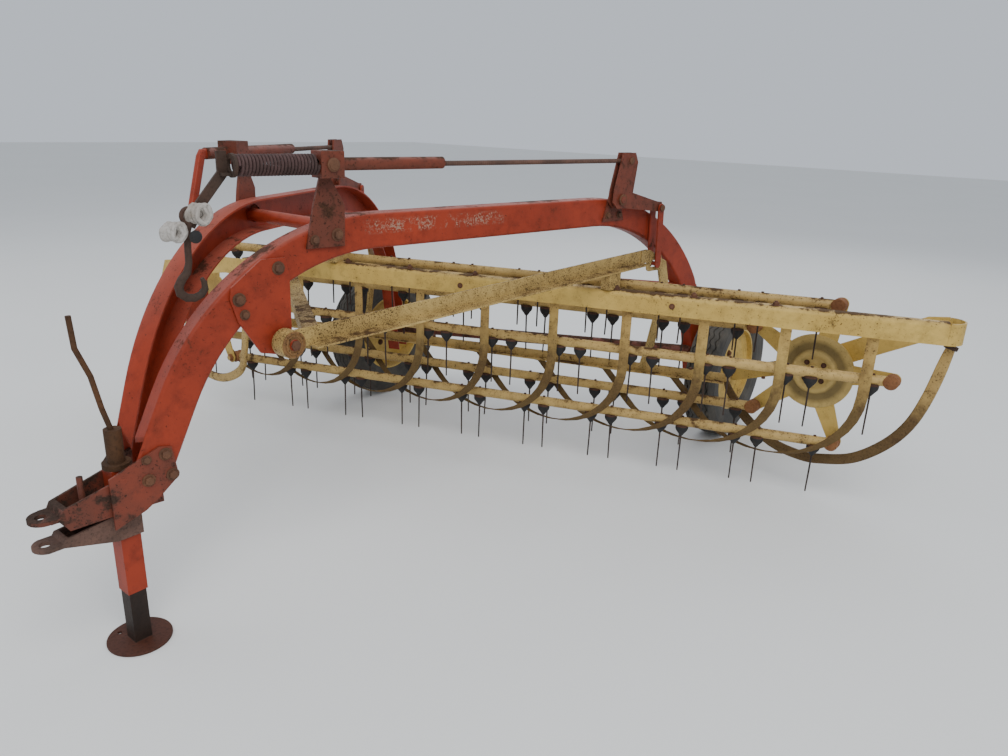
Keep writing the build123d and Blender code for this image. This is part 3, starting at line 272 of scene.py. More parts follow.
def rubber(name, colour, dust, dust_from, dust_to, rough=0.75):
    material, tree, shader = new_material(name)
    coords = place_coords(tree)
    broad = noise(tree, coords, 14.0, 5.0, 0.65)
    fine = noise(tree, coords, 160.0, 3.0, 0.6)
    mixed = mix(tree, ramp(tree, broad, dust_from, dust_to), colour, dust)
    tree.links.new(mixed, shader.inputs["Base Color"])
    tree.links.new(math_node(tree, "ADD", math_node(tree, "MULTIPLY", broad, 0.25), rough - 0.12),
                   shader.inputs["Roughness"])
    bump(tree, shader, fine, 0.0006, 0.4)
    return material


RUST = (0.070, 0.030, 0.014)
EARTH = (0.075, 0.040, 0.020)
head_left = SHIFT + REEL
head_right = SHIFT + REEL + REEL_RUN
RED_SHADES = ((0.325, 0.040, 0.015), (0.225, 0.029, 0.012))
RED_TOP = (0.36, 0.125, 0.090)
red = painted("red_paint", *RED_SHADES, RUST, 0.045, 0.30, (0.50, 0.42, 0.36), 0.09, top_colour=RED_TOP)
red_near = painted("red_near", *RED_SHADES, RUST, 0.045, 0.30, (0.36, 0.24, 0.17), 0.09, top_colour=RED_TOP,
                   scuff=(0.08, 0.66, 1.088, 1.138))
red_hitch = painted("red_hitch", (0.260, 0.045, 0.022), (0.085, 0.036, 0.024), (0.050, 0.030, 0.020), 0.13,
                    0.34, (0.34, 0.27, 0.21), 0.05, speck_amount=0.05)
red_worn = painted("red_worn", (0.190, 0.042, 0.022), (0.095, 0.032, 0.020), RUST, 0.12, 0.34,
                   (0.30, 0.22, 0.18), 0.10, top_colour=(0.20, 0.090, 0.062))
YELLOW_SHADES = ((0.60, 0.41, 0.110), (0.49, 0.32, 0.080))
yellow = painted("yellow_paint", *YELLOW_SHADES, RUST, 0.03, 0.20, (0.70, 0.60, 0.40), 0.09,
                 speck_amount=0.035, top_colour=(0.56, 0.44, 0.22))
yellow_worn = painted("yellow_worn", (0.53, 0.36, 0.125), (0.36, 0.23, 0.075), RUST, 0.09, 0.20,
                      (0.60, 0.48, 0.30), 0.08, speck_amount=0.065)
yellow_speckled = painted("yellow_speckled", (0.50, 0.35, 0.125), (0.38, 0.25, 0.085), RUST, 0.03, 0.20,
                          (0.60, 0.48, 0.30), 0.10, speck_amount=0.100, speck_scale=240.0)
beam_yellow = painted("beam_yellow", *YELLOW_SHADES, RUST, 0.035, 0.20, (0.70, 0.60, 0.40), 0.17,
                      speck_amount=0.035, top_colour=(0.34, 0.22, 0.105))
hoop_paint = painted("hoop_paint", (0.50, 0.34, 0.105), (0.34, 0.21, 0.065), EARTH, 0.07, 0.16,
                     (0.50, 0.40, 0.24), 0.05, speck_amount=0.06, low=(0.30, 0.52))
guard_paint = painted("guard_paint", (0.46, 0.31, 0.105), (0.32, 0.20, 0.070), EARTH, 0.10, 0.12,
                      (0.42, 0.32, 0.18), 0.05, speck_amount=0.07, low=(0.33, 0.46))
steel = rusty("rusty_steel", (0.100, 0.046, 0.028), (0.050, 0.026, 0.018))
dark_steel = rusty("dark_steel", (0.042, 0.028, 0.020), (0.070, 0.036, 0.024), 0.7)
jack_rust = rusty("jack_rust", (0.100, 0.044, 0.018), (0.050, 0.026, 0.013), 0.8)
leg_steel = rusty("leg_steel", (0.018, 0.011, 0.008), (0.032, 0.018, 0.012), 0.6,
                  foot=(0.0082, (0.070, 0.024, 0.014)))
grey_steel = rusty("grey_steel", (0.155, 0.082, 0.060), (0.080, 0.048, 0.036), 0.75)
tine_steel = rusty("tine_steel", (0.060, 0.036, 0.026), (0.032, 0.022, 0.018), 0.65)
mount_rubber = rubber("mount_rubber", (0.010, 0.009, 0.009), (0.035, 0.028, 0.022), 0.55, 0.8)
tyre_rubber = rubber("tyre_rubber", (0.030, 0.028, 0.025), (0.085, 0.074, 0.058), 0.34, 0.68)
spring_steel = rusty("spring_steel", (0.105, 0.056, 0.052), (0.055, 0.032, 0.028), 0.75)
knuckle_rust = rusty("knuckle_rust", (0.30, 0.135, 0.055), (0.17, 0.070, 0.030), 0.85)
bolt_rust = rusty("bolt_rust", (0.085, 0.042, 0.026), (0.150, 0.066, 0.034), 0.8)
DISH_SHADES = ((0.56, 0.40, 0.140), (0.40, 0.28, 0.090))
DISH_DIRT = (0.095, 0.066, 0.026)
dish_left = painted("dish_left", *DISH_SHADES, EARTH, 0.05, 0.15, (0.60, 0.48, 0.30), 0.0,
                    ring=(head_left, 0.090, 0.122, DISH_DIRT))
dish_right = painted("dish_right", *DISH_SHADES, EARTH, 0.05, 0.15, (0.60, 0.48, 0.30), 0.0,
                     ring=(head_right, 0.090, 0.122, DISH_DIRT))
hub_paint = painted("hub_paint", (0.27, 0.140, 0.050), (0.16, 0.080, 0.032), RUST, 0.14, 0.15,
                    (0.45, 0.32, 0.16), 0.0, speck_amount=0.10)
pale_paint = rusty("pale_paint", (0.50, 0.48, 0.45), (0.30, 0.26, 0.22), 0.7)


# Looks of the carried-over pieces
def finish_for(name):
    if name == "beam_left":
        return red_near
    if name == "main_beam":
        return beam_yellow
    if name.startswith(("tongue_upper", "hitch_plate")):
        return red_hitch
    if name.startswith(("beam_", "front_cross_tube", "brace_tube", "jack_sleeve", "lift_link",
                        "pivot_plate")):
        return red
    if name.startswith(("lift_post", "crank_stand", "bell_crank",
                        "rod_cover", "axle_tube", "lift_handle", "stub_axle")):
        return red_worn
    if name.startswith(("main_beam", "left_support", "right_support", "rim_", "head_")):
        return yellow
    if name.startswith(("arm_", "strut")):
        return yellow_speckled
    if name.startswith("stripper"):
        return hoop_paint
    if name.startswith("guard_"):
        return guard_paint
    if name.startswith(("rear_rail", "tooth_bar")):
        return yellow_worn
    if name.startswith("jack_crank"):
        return jack_rust
    if name.startswith("jack_leg"):
        return leg_steel
    if name.startswith("tyre_"):
        return tyre_rubber
    if name.startswith("tongue_lower"):
        return grey_steel
    if name.startswith("spring"):
        return dark_steel
    return steel


def soften(object_, width):
    weld = object_.modifiers.new("weld", "WELD")
    weld.merge_threshold = 0.00002
    bevel = object_.modifiers.new("edges", "BEVEL")
    bevel.width = width
    bevel.segments = 2
    bevel.limit_method = "ANGLE"
    bevel.angle_limit = math.radians(40)
    bevel.harden_normals = False


for name, node in nodes.items():
    node.data.materials.clear()
    node.data.materials.append(finish_for(name))
    if name.startswith(("beam_", "main_beam", "arm_", "strut", "pivot_plate", "lift_post", "hitch_plate",
                        "tongue", "left_support", "right_support", "bell_crank", "stripper", "guard",
                        "jack_leg", "jack_sleeve", "lift_link", "head_", "rear_rail")):
        soften(node, 0.0014)


# Mesh helpers
def piece(name, bm, material, body, smooth=True, replaced=()):
    mesh = bpy.data.meshes.new(name)
    bmesh.ops.recalc_face_normals(bm, faces=bm.faces)
    bm.to_mesh(mesh)
    bm.free()
    made = bpy.data.objects.new(name, mesh)
    bpy.context.scene.collection.objects.link(made)
    materials = material if isinstance(material, (list, tuple)) else [material]
    for entry in materials:
        mesh.materials.append(entry)
    if smooth:
        mesh.shade_smooth()
        mesh.set_sharp_from_angle(angle=math.radians(38))
    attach(made, body)
    if replaced:
        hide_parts(*replaced)
    return made


def axes_for(direction):
    direction = Vector(direction).normalized()
    start = Vector((0, 0, 1)) if abs(direction.z) < 0.9 else Vector((1, 0, 0))
    across = start.cross(direction).normalized()
    return across, direction.cross(across)


def lathe(bm, centre, direction, profile, count=24, index=0, turn=0.0):
    # A turned shape: profile is a list of (distance along, radius)
    across, up = axes_for(direction)
    direction = Vector(direction).normalized()
    rings = []
    for step, radius in profile:
        middle = centre + direction * step
        if radius <= 0:
            rings.append([bm.verts.new(middle)])
            continue
        ring = []
        for k in range(count):
            angle = 2 * math.pi * k / count + turn
            spoke = across * radius * math.cos(angle) + up * radius * math.sin(angle)
            ring.append(bm.verts.new(middle + spoke))
        rings.append(ring)
    for first, second in zip(rings, rings[1:]):
        for k in range(count):
            after = (k + 1) % count
            corners = [first[k % len(first)], first[after % len(first)],
                       second[after % len(second)], second[k % len(second)]]
            kept = [v for n, v in enumerate(corners) if v not in corners[:n]]
            if len(kept) > 2:
                face = bm.faces.new(kept)
                face.material_index = index
    return rings


def tube(bm, points, radius, count=10, index=0, closed=False, caps=True):
    # A round bar along a line of points
    points = [Vector(p) for p in points]
    rings = []
    across = None
    total = len(points)
    for k, point in enumerate(points):
        if closed:
            heading = points[(k + 1) % total] - points[k - 1]
        else:
            heading = points[min(k + 1, total - 1)] - points[max(k - 1, 0)]
        heading.normalize()
        if across is None:
            across, up = axes_for(heading)
        else:
            across = (across - heading * across.dot(heading)).normalized()
            up = heading.cross(across)
        size = radius[k] if isinstance(radius, (list, tuple)) else radius
        rings.append([bm.verts.new(point + (across * math.cos(a) + up * math.sin(a)) * size)
                      for a in [2 * math.pi * j / count for j in range(count)]])
    pairs = list(zip(rings, rings[1:]))
    if closed:
        pairs.append((rings[-1], rings[0]))
    for first, second in pairs:
        for j in range(count):
            face = bm.faces.new([first[j], first[(j + 1) % count], second[(j + 1) % count], second[j]])
            face.material_index = index
    if caps and not closed:
        bm.faces.new(rings[0]).material_index = index
        bm.faces.new(rings[-1]).material_index = index


def smooth_line(points, steps=5):
    # Points along a smooth curve through the given ones
    line = []
    for k in range(len(points) - 1):
        first, second, third, fourth = [points[min(max(k + n, 0), len(points) - 1)] for n in (-1, 0, 1, 2)]
        for step in range(steps):
            t = step / steps
            line.append(0.5 * (2 * second + (third - first) * t
                               + (2 * first - 5 * second + 4 * third - fourth) * t * t
                               + (3 * second - first - 3 * third + fourth) * t * t * t))
    return line + [points[-1]]


def strap(bm, points, flat, widths, thick, index=0, count=16):
    # A flat bar with rounded edges, bent in its own plane; flat is the direction across that plane
    rings = []
    for k, point in enumerate(points):
        heading = (points[min(k + 1, len(points) - 1)] - points[max(k - 1, 0)]).normalized()
        across = flat.cross(heading)
        ring = []
        for j in range(count):
            angle = 2 * math.pi * (j + 0.5) / count
            wide = math.copysign(math.sqrt(abs(math.cos(angle))), math.cos(angle)) * widths[k]
            deep = math.copysign(math.sqrt(abs(math.sin(angle))), math.sin(angle)) * thick
            ring.append(bm.verts.new(point + across * wide + flat * deep))
        rings.append(ring)
    for first, second in zip(rings, rings[1:]):
        for j in range(count):
            after = (j + 1) % count
            bm.faces.new([first[j], first[after], second[after], second[j]]).material_index = index
    bm.faces.new(rings[0]).material_index = index
    bm.faces.new(rings[-1]).material_index = index


def hex_bolt(bm, centre, direction, size=0.011, height=0.009, washer=True, stub=0.0):
    # A bolt head or nut on its washer, with a little of the thread past it
    across, up = axes_for(direction)
    direction = Vector(direction).normalized()
    base = 0.0
    if washer:
        lathe(bm, centre, direction, [(0.0, size * 1.45), (0.0022, size * 1.45), (0.0022, 0)], 16)
        base = 0.0022
    profile = [(base - 0.001, size), (base + height * 0.8, size), (base + height, size * 0.8),
               (base + height, 0)]
    lathe(bm, centre, direction, profile, 6, 0, 0.35)
    if stub:
        end = base + height + stub
        lathe(bm, centre, direction, [(base + height - 0.001, size * 0.5), (end, size * 0.48), (end, 0)], 10)


# Tines: a black tulip mount with a rusty clip under the bar, and a round spring-steel tine
tine_places = [0.280 + PAIR_PITCH * j + step for j in range(8) for step in (0.0, PAIR_STEP)]
tine_places = [0.065] + tine_places + [2.685]
for k, (out_y, up_z) in enumerate(JOINTS):
    bm = bmesh.new()
    for n, distance in enumerate(tine_places):
        top = place(REEL.x, REEL.y + out_y, REEL.z + up_z) + ALONG * distance
        lathe(bm, top, (0, 0, -1), [(0.013, 0.0), (0.0135, 0.0235), (0.0215, 0.0262), (0.0300, 0.0264),
                                    (0.0375, 0.0240), (0.0445, 0.0190), (0.0515, 0.0132), (0.0580, 0.0092),
                                    (0.0625, 0.0060), (0.0640, 0.0)], 14, 0)
        lathe(bm, top, (0, 0, -1), [(0.0125, 0.0), (0.0125, 0.0262), (0.0190, 0.0272), (0.0205, 0.0262),
                                    (0.0205, 0.0)], 14, 2)
        lean = 0.020 * math.sin(2.3 * n + 1.7 * k)
        sway = 0.018 * math.sin(3.1 * n + 0.9 * k)
        foot = top + Vector((lean * 0.16, sway * 0.16, -0.221))
        middle = top + Vector((lean * 0.05, sway * 0.05, -0.140))
        tube(bm, [top + Vector((0, 0, -0.060)), middle, foot], [0.0036, 0.0034, 0.0030], 8, 1)
        lathe(bm, top, (0, 0, 1), [(0.0185, 0.0060), (0.0235, 0.0060), (0.0245, 0.0045),
                                   (0.0245, 0.0)], 6, 2)
    piece("tine_row_%d" % (k + 1), bm, [mount_rubber, tine_steel, steel], "bar_%d" % (k + 1),
          replaced=["tines_%d" % (k + 1)])

# Bar ends: a rusty sleeve over each knuckle, and a nut on each pin outside the heads
for k, (out_y, up_z) in enumerate(JOINTS):
    bm = bmesh.new()
    for end, out in ((0.0, -1), (REEL_RUN.length, 1)):
        middle = place(REEL.x, REEL.y + out_y, REEL.z + up_z) + ALONG * end
        outward = Vector((out, 0, 0))
        lathe(bm, middle, outward, [(-0.0204, 0.0), (-0.0204, 0.0262), (-0.0190, 0.0274), (-0.0125, 0.0274),
                                    (-0.0120, 0.0264), (0.0120, 0.0264), (0.0125, 0.0274), (0.0190, 0.0274),
                                    (0.0204, 0.0262), (0.0204, 0.0)], 24)
        lathe(bm, middle, outward, [(0.0385, 0.019), (0.0415, 0.019), (0.0415, 0.0)], 20)
        lathe(bm, middle, outward, [(0.0415, 0.0150), (0.0500, 0.0150), (0.0515, 0.0125),
                                    (0.0515, 0.0)], 6)
    piece("bar_rings_%d" % (k + 1), bm, knuckle_rust, "bar_%d" % (k + 1))

# End guards: flat bars bent in a plane across the travel, with a clip at the front end
for name, x, line, paint in (
        ("left", -2.259, [(1.538, 0.719), (1.532, 0.690), (1.500, 0.521), (1.457, 0.390), (1.387, 0.287),
                          (1.287, 0.203), (1.180, 0.165), (1.088, 0.152), (0.960, 0.175), (0.840, 0.250),
                          (0.760, 0.340), (0.731, 0.392)], guard_paint),
        ("right", -1.158, [(-1.071, 0.719), (-1.071, 0.601), (-1.150, 0.486), (-1.180, 0.350),
                           (-1.220, 0.253), (-1.351, 0.182), (-1.492, 0.166), (-1.632, 0.200),
                           (-1.772, 0.285), (-1.875, 0.380)], yellow_worn)):
    bm = bmesh.new()
    points = smooth_line([place(x, y, z) for y, z in line])
    last = len(points) - 1
    widths = [min(0.021, 0.010 + 0.0015 * k, 0.010 + 0.0015 * (last - k)) for k in range(last + 1)]
    strap(bm, points, Vector((1, 0, 0)), widths, 0.0075)
    strap(bm, [points[1], points[4]], Vector((1, 0, 0)), [0.0235, 0.0235], 0.0110, 1)
    piece("guard_bar_" + name, bm, [paint, dark_steel], "basket", replaced=["guard_" + name])

# Reel heads: pressed dish, hub ring and its nut
for name, x, out, body in (("left", REEL.x - 0.034, -1, "reel_left"),
                           ("right", REEL.x + REEL_RUN.x + 0.034, 1, "reel_right")):
    y = REEL.y + (0.0 if out < 0 else REEL_RUN.y)
    bm = bmesh.new()
    centre = place(x, y, REEL.z)
    inward = Vector((-out, 0, 0))
    lathe(bm, centre, inward, [(0.0025, 0.149), (0.0060, 0.146), (0.0075, 0.136), (0.0050, 0.120),
                               (0.0046, 0.100), (0.0070, 0.090), (0.0150, 0.0845), (0.0175, 0.080),
                               (0.0175, 0.070),
                               (0.0150, 0.0655), (0.0090, 0.060), (0.0070, 0.050), (0.0070, 0.034),
                               (0.0100, 0.031), (0.0240, 0.029), (0.0260, 0.026), (0.0260, 0.0)], 48)
    piece("head_dish_" + name, bm, dish_left if out < 0 else dish_right, body)
    bm = bmesh.new()
    for step in range(4):
        angle = math.radians(45 + 90 * step)
        spot = centre + Vector((0, 0.046 * math.cos(angle), 0.046 * math.sin(angle)))
        hex_bolt(bm, spot + inward * 0.007, inward, 0.0075, 0.007)
    nut = centre + inward * 0.026
    lathe(bm, nut, inward, [(0.0, 0.0185), (0.012, 0.0185), (0.014, 0.016), (0.014, 0.0)], 6)
    piece("head_bolts_" + name, bm, steel, body)

# Spring: a close coil on the left lift rod
bm = bmesh.new()
spring_from = LEFT["post"] - 0.036 - SPRING_LENGTH
turns = 23
points = []
normal = side_axes(LEFT)[1]
for step in range(turns * 18 + 1):
    angle = 2 * math.pi * step / 18
    along = 0.0055 + (SPRING_LENGTH - 0.011) * step / (turns * 18)
    centre = at_side(LEFT, spring_from + along, ROD_Z, LEFT["gear"])
    round_it = normal * math.cos(angle) + Vector((0, 0, math.sin(angle)))
    points.append(centre + round_it * SPRING_RADIUS)
tube(bm, points, 0.0042, 8)
piece("spring_coil", bm, spring_steel, "frame", replaced=["spring"])

# Threads on the lift rods
for side in SIDES:
    bm = bmesh.new()
    start = side["post"] + 0.410
    finish = side["crank"] - 0.030
    count = int((finish - start) / 0.009)
    profile = []
    for step in range(count):
        profile += [(start + 0.009 * step, 0.0073), (start + 0.009 * step + 0.0045, 0.0085)]
    lathe(bm, at_side(side, 0.0, CRANK_PIN_Z, side["gear"]), side_axes(side)[0], profile, 12)
    piece("rod_thread_" + side["name"], bm, grey_steel, "rod_" + side["name"])

# The hand crank's flat handle
bm = bmesh.new()
strap(bm, [at_side(RIGHT, along, up, RIGHT["gear"]) for along, up in
           ((0.622, 1.297), (0.606, 1.297), (0.596, 1.286), (0.529, 1.128), (0.524, 1.116))],
      side_axes(RIGHT)[1], [0.0150] * 5, 0.0090)
piece("hand_crank", bm, red, "frame")

# Hook on its strap in front of the spring, with its ring, white wrapping and knob
bm = bmesh.new()
hook = [(0.213, 1.160), (0.206, 1.140), (0.203, 1.100), (0.202, 1.060), (0.196, 1.036), (0.181, 1.020),
        (0.171, 1.002), (0.174, 0.984), (0.189, 0.972), (0.209, 0.969), (0.227, 0.976), (0.238, 0.990),
        (0.237, 1.006), (0.231, 1.018)]
tube(bm, [at_side(LEFT, a, z, 0.010) for a, z in hook],
     [0.0085] * 4 + [0.010, 0.011, 0.0115, 0.0115, 0.011, 0.0105, 0.010, 0.009, 0.0075, 0.005], 12)
ring = [at_side(LEFT, 0.213 + 0.019 * math.cos(a), 1.176 + 0.019 * math.sin(a), 0.010)
        for a in [2 * math.pi * j / 24 for j in range(24)]]
tube(bm, ring, 0.0055, 8, closed=True)
piece("hook", bm, dark_steel, "frame")
bm = bmesh.new()
for along, up, outward, size in ((0.172, 1.140, 0.016, 0.016), (0.236, 1.180, 0.018, 0.018)):
    for turn, tilt in enumerate((-0.011, -0.004, 0.003, 0.009)):
        loop = []
        for j in range(20):
            a = 2 * math.pi * j / 20
            reach = size * (1.0 + 0.10 * math.sin(2 * a + 1.9 * turn) + 0.05 * math.sin(5 * a + turn))
            loop.append(at_side(LEFT, along + reach * math.cos(a) + tilt,
                                up + reach * 1.15 * math.sin(a) + tilt * 0.35 * math.sin(turn * 2.1),
                                outward + tilt * 0.8 + 0.003 * math.sin(a + turn)))
        tube(bm, loop, 0.0072 - 0.0006 * (turn % 2), 8, closed=True)
piece("hook_wrap", bm, pale_paint, "frame")
bm = bmesh.new()
knob = at_side(LEFT, 0.214, 1.128, 0.030)
lathe(bm, knob, side_axes(LEFT)[1], [(0.0, 0.0), (0.001, 0.013), (0.010, 0.0165), (0.020, 0.012),
                                     (0.024, 0.0)], 16)
piece("hook_knob", bm, mount_rubber, "frame")

# Bolts, nuts, washers and pin ends that stay with the frame
bm = bmesh.new()
for side, along, up, outward, size in (
        (LEFT, 0.094, 0.564, 0.008, 0.012), (LEFT, 0.107, 0.502, 0.008, 0.012),
        (LEFT, 0.045, 0.502, 0.008, 0.012),
        (LEFT, 0.045, 0.560, 0.008, 0.009),
        (RIGHT, 0.094, 0.564, 0.008, 0.012), (RIGHT, 0.100, 0.502, 0.008, 0.012),
        (RIGHT, 0.045, 0.520, 0.008, 0.012),
        (LEFT, 0.327, 0.948, 0.008, 0.013), (LEFT, 0.445, 1.022, 0.008, 0.013),
        (LEFT, 0.340, 0.905, 0.008, 0.010),
        (RIGHT, 0.370, 0.948, 0.008, 0.013), (RIGHT, 0.486, 1.022, 0.008, 0.013),
        (LEFT, 0.633, 1.100, 0.010, 0.013), (LEFT, 0.560, 1.090, 0.010, 0.010),
        (RIGHT, 0.803, 1.100, 0.010, 0.013), (RIGHT, 0.730, 1.090, 0.010, 0.010),
        (LEFT, 1.842, 1.088, 0.006, 0.010), (LEFT, 1.912, 1.088, 0.006, 0.010),
        (RIGHT, 1.497, 1.088, 0.006, 0.010), (RIGHT, 1.567, 1.088, 0.006, 0.010)):
    hex_bolt(bm, at_side(side, along, up, outward), side_axes(side)[1], size, size * 0.85)
for side in SIDES:
    normal = side_axes(side)[1]
    lathe(bm, at_side(side, side["post"], ROD_Z, side["gear"] + 0.027), normal,
          [(0.0, 0.019), (0.004, 0.019), (0.005, 0.016), (0.008, 0.014), (0.009, 0.0)], 20)
    lathe(bm, at_side(side, side["crank"], CRANK_Z, side["gear"] + 0.026), normal,
          [(-0.008, 0.021), (-0.003, 0.021), (-0.003, 0.0)], 20)
    hub_y = side["wheel"][1] + side["out"] * 0.046
    outward = Vector((0, side["out"], 0))
    hub = place(side["wheel"][0], hub_y, TYRE_RADIUS)
    lathe(bm, hub, outward, [(0.0015, 0.030), (0.0045, 0.030), (0.0045, 0.0)], 24)
    lathe(bm, hub, outward, [(0.004, 0.024), (0.013, 0.024), (0.0155, 0.020), (0.0155, 0.0)], 6)
piece("frame_bolts", bm, bolt_rust, "frame", smooth=True)

# Welds and a sleeve round the front cross tube where it meets the beams
bm = bmesh.new()
for side in SIDES:
    along = 0.730 / math.cos(math.radians(side["angle"]))
    spot = at_side(side, along, 1.099, -0.0062)
    normal = side_axes(side)[1]
    lathe(bm, spot, -normal, [(0.0, 0.030), (0.004, 0.0285), (0.008, 0.024), (0.012, 0.0212)], 28)
piece("tube_welds", bm, red_worn, "frame")

# Bolts on the basket: hoop bolts along the main beam, and the ends' bolts
bm = bmesh.new()
for j in range(9):
    spot = at_reel(HOOP_START + PAIR_PITCH * j, 0.148 - 0.024, 0.2805)
    hex_bolt(bm, spot, (0, 0, 1), 0.011, 0.011, stub=0.004)
    rail = at_reel(HOOP_START + PAIR_PITCH * j, -0.144, -0.090)
    hex_bolt(bm, rail, (0, 0, 1), 0.008, 0.008, washer=False)
for distance, up in ((0.55, 0.240), (1.43, 0.235), (2.30, 0.240)):
    hex_bolt(bm, at_reel(distance, 0.1480, up), OUTWARD, 0.008, 0.007)
end_x = REEL.x + REEL_RUN.x + 0.123
for y_step, up in ((0.0, 0.066), (0.058, -0.030), (-0.058, -0.030)):
    spot = place(end_x + 0.007, REEL.y + REEL_RUN.y + y_step * 0.55, REEL.z + up * 0.55)
    hex_bolt(bm, spot, (1, 0, 0), 0.008, 0.007)
for side in SIDES:
    outward = Vector((0, side["out"], 0))
    face = hinge_hub(side, HUB_LENGTH)
    lathe(bm, face, outward, [(-0.001, 0.0385), (0.003, 0.0385), (0.0045, 0.0365), (0.0045, 0.0335),
                              (0.0020, 0.0320), (0.0020, 0.0290), (0.0050, 0.0275), (0.0050, 0.0225),
                              (0.0030, 0.0210), (0.0030, 0.0165)], 36, 1)
piece("basket_bolts", bm, [bolt_rust, hub_paint], "basket")

bm = bmesh.new()
for side in SIDES:
    outward = Vector((0, side["out"], 0))
    tip = hinge_hub(side, HUB_LENGTH + 0.0045)
    lathe(bm, tip, outward, [(0.0005, 0.0155), (0.0085, 0.0155), (0.0100, 0.0130), (0.0100, 0.0)], 6)
piece("pivot_nuts", bm, bolt_rust, "frame")

# Pin heads on the bell cranks
for side in SIDES:
    bm = bmesh.new()
    normal = side_axes(side)[1]
    reach = side["gear"]
    for along, up, outward, size in (
            (side["crank"] + side["pin"], CRANK_PIN_Z, reach + 0.014, 0.014),
            (side["crank"] + side["reach"], CRANK_Z - 0.043, reach + 0.027, 0.014)):
        lathe(bm, at_side(side, along, up, outward), normal,
              [(-0.0002, size), (0.003, size), (0.0045, size * 0.8), (0.0045, 0.0)], 18)
    piece("crank_pins_" + side["name"], bm, bolt_rust, "crank_" + side["name"])

# Tyres with a worn zigzag tread, grooved sidewalls and a valve
for side in SIDES:
    bm = bmesh.new()
    centre = place(side["wheel"][0], side["wheel"][1], TYRE_RADIUS)
    tread = [-0.060, -0.050, -0.047, -0.044, -0.026, -0.023, -0.020, -0.003, 0.0, 0.003, 0.020, 0.023,
             0.026, 0.044, 0.047, 0.050, 0.060]
    groove = {-0.047, -0.023, 0.0, 0.023, 0.047}
    profile = [(-0.053, 0.1965, 0), (-0.058, 0.203, 0), (-0.064, 0.216, 0), (-0.0665, 0.222, 0),
               (-0.0655, 0.226, 0), (-0.0695, 0.240, 0), (-0.0705, 0.258, 0), (-0.0695, 0.272, 0),
               (-0.0705, 0.275, 0), (-0.0690, 0.279, 0), (-0.0680, 0.290, 0), (-0.0650, 0.303, 0),
               (-0.0625, 0.310, 1)]
    for y in tread:
        crown = min(0.3295 - 6.0 * y * y, 0.3290 - 1.6 * y * y) if abs(y) < 0.05 else 0.3195
        profile.append((y, crown - (0.0065 if y in groove else 0.0), 2))
    profile += [(-y, r, t) for y, r, t in profile[:13][::-1]]
    count = 160
    rings = []
    for step in range(count):
        angle = 2 * math.pi * step / count
        shift = 0.0045 if (step // 2) % 2 else -0.0045
        ring = []
        for y, radius, kind in profile:
            if kind == 2 and abs(y) < 0.055:
                y = y + shift
            if kind == 1 and (step % 4) < 2:
                radius = radius - 0.004
            rim = Vector((radius * math.sin(angle), y, radius * math.cos(angle)))
            ring.append(bm.verts.new(centre + rim))
        rings.append(ring)
    for step in range(count):
        first, second = rings[step], rings[(step + 1) % count]
        for j in range(len(profile) - 1):
            bm.faces.new([first[j], first[j + 1], second[j + 1], second[j]])
        bm.faces.new([first[-1], first[0], second[0], second[-1]])
    piece("tyre_tread_" + side["name"], bm, tyre_rubber, "wheel_" + side["name"],
          replaced=["tyre_" + side["name"]])
    bm = bmesh.new()
    outward = Vector((0, side["out"], 0))
    for step in range(5):
        angle = math.radians(18 + 72 * step)
        spot = centre + Vector((0.070 * math.cos(angle), side["out"] * 0.006, 0.070 * math.sin(angle)))
        hex_bolt(bm, spot, outward, 0.011, 0.011)
        hex_bolt(bm, spot - outward * 0.010, -outward, 0.011, 0.009)
    spot = centre + Vector((0.150, side["out"] * 0.020, 0.060))
    tube(bm, [spot, spot + Vector((0.004, side["out"] * 0.018, 0.002))], [0.004, 0.0035], 10)
    piece("wheel_bolts_" + side["name"], bm, bolt_rust, "wheel_" + side["name"])

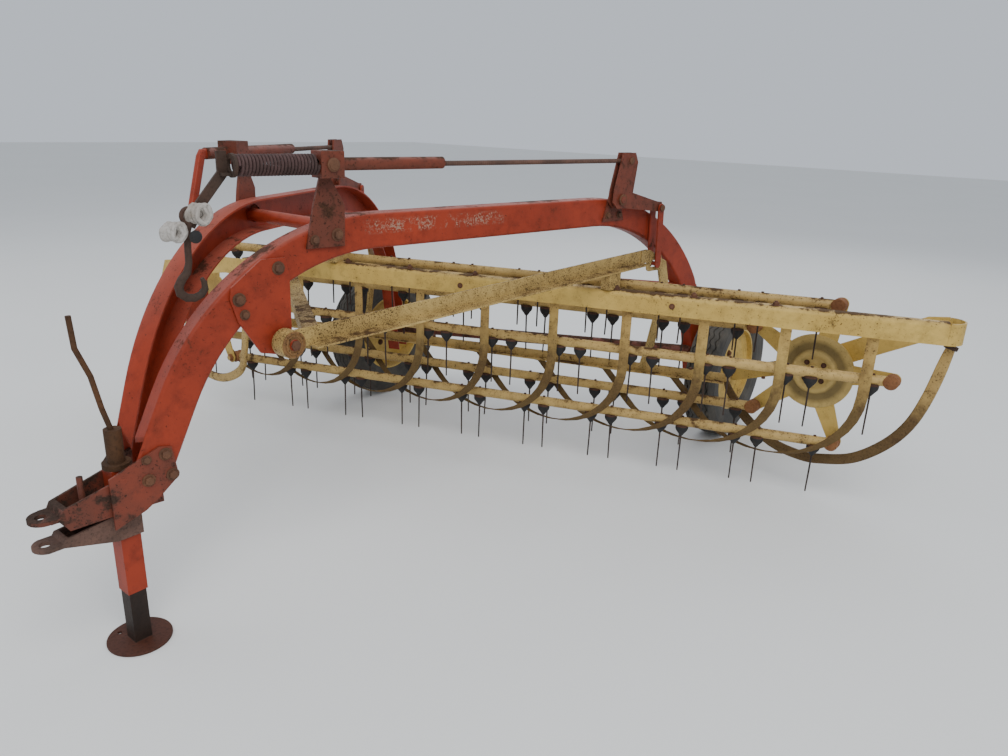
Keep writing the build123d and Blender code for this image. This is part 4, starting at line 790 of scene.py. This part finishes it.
# Camera as the photograph was taken, floor and light
camera_data = bpy.data.cameras.new("camera")
camera = bpy.data.objects.new("camera", camera_data)
bpy.context.scene.collection.objects.link(camera)
camera_data.sensor_width = 36.0
camera_data.lens = 27.608
camera_data.clip_start = 0.05
camera_data.clip_end = 100.0
right = Vector((-0.62297986, 0.78147701, 0.03449311))
down = Vector((0.22857273, 0.22403083, -0.94739891))
ahead = Vector((-0.74809799, -0.58232626, -0.31819103))
turned = Matrix((right, -down, -ahead)).transposed().to_4x4()
camera.matrix_world = Matrix.Translation((2.206865, 2.092411, 1.432466)) @ turned
bpy.context.scene.camera = camera

floor_mesh = bpy.data.meshes.new("floor")
floor_mesh.from_pydata([(-30, -30, 0), (30, -30, 0), (30, 30, 0), (-30, 30, 0)], [], [(0, 1, 2, 3)])
floor = bpy.data.objects.new("floor", floor_mesh)
bpy.context.scene.collection.objects.link(floor)
floor_material, floor_tree, floor_shader = new_material("floor")
floor_coords = place_coords(floor_tree)
floor_colour = mix(floor_tree, noise(floor_tree, floor_coords, 0.7), (0.80, 0.80, 0.78), (0.76, 0.76, 0.74))
floor_tree.links.new(floor_colour, floor_shader.inputs["Base Color"])
floor_shader.inputs["Roughness"].default_value = 0.9
floor_mesh.materials.append(floor_material)

world = bpy.data.worlds.new("world")
bpy.context.scene.world = world
world.use_nodes = True
world.node_tree.nodes["Background"].inputs[0].default_value = (0.80, 0.86, 0.95, 1.0)
world.node_tree.nodes["Background"].inputs[1].default_value = 0.78
for name, spot, size, power in (("key_light", (3.2, 4.2, 6.0), 4.5, 330.0),
                                ("fill_light", (3.5, -5.0, 4.5), 6.0, 110.0),
                                ("back_light", (-5.5, -1.0, 5.0), 6.0, 110.0)):
    light_data = bpy.data.lights.new(name, "AREA")
    light_data.size = size
    light_data.energy = power
    light = bpy.data.objects.new(name, light_data)
    bpy.context.scene.collection.objects.link(light)
    light.location = spot
    light.rotation_mode = "QUATERNION"
    light.rotation_quaternion = (Vector((0, 0, 0.5)) - Vector(spot)).to_track_quat("-Z", "Y")
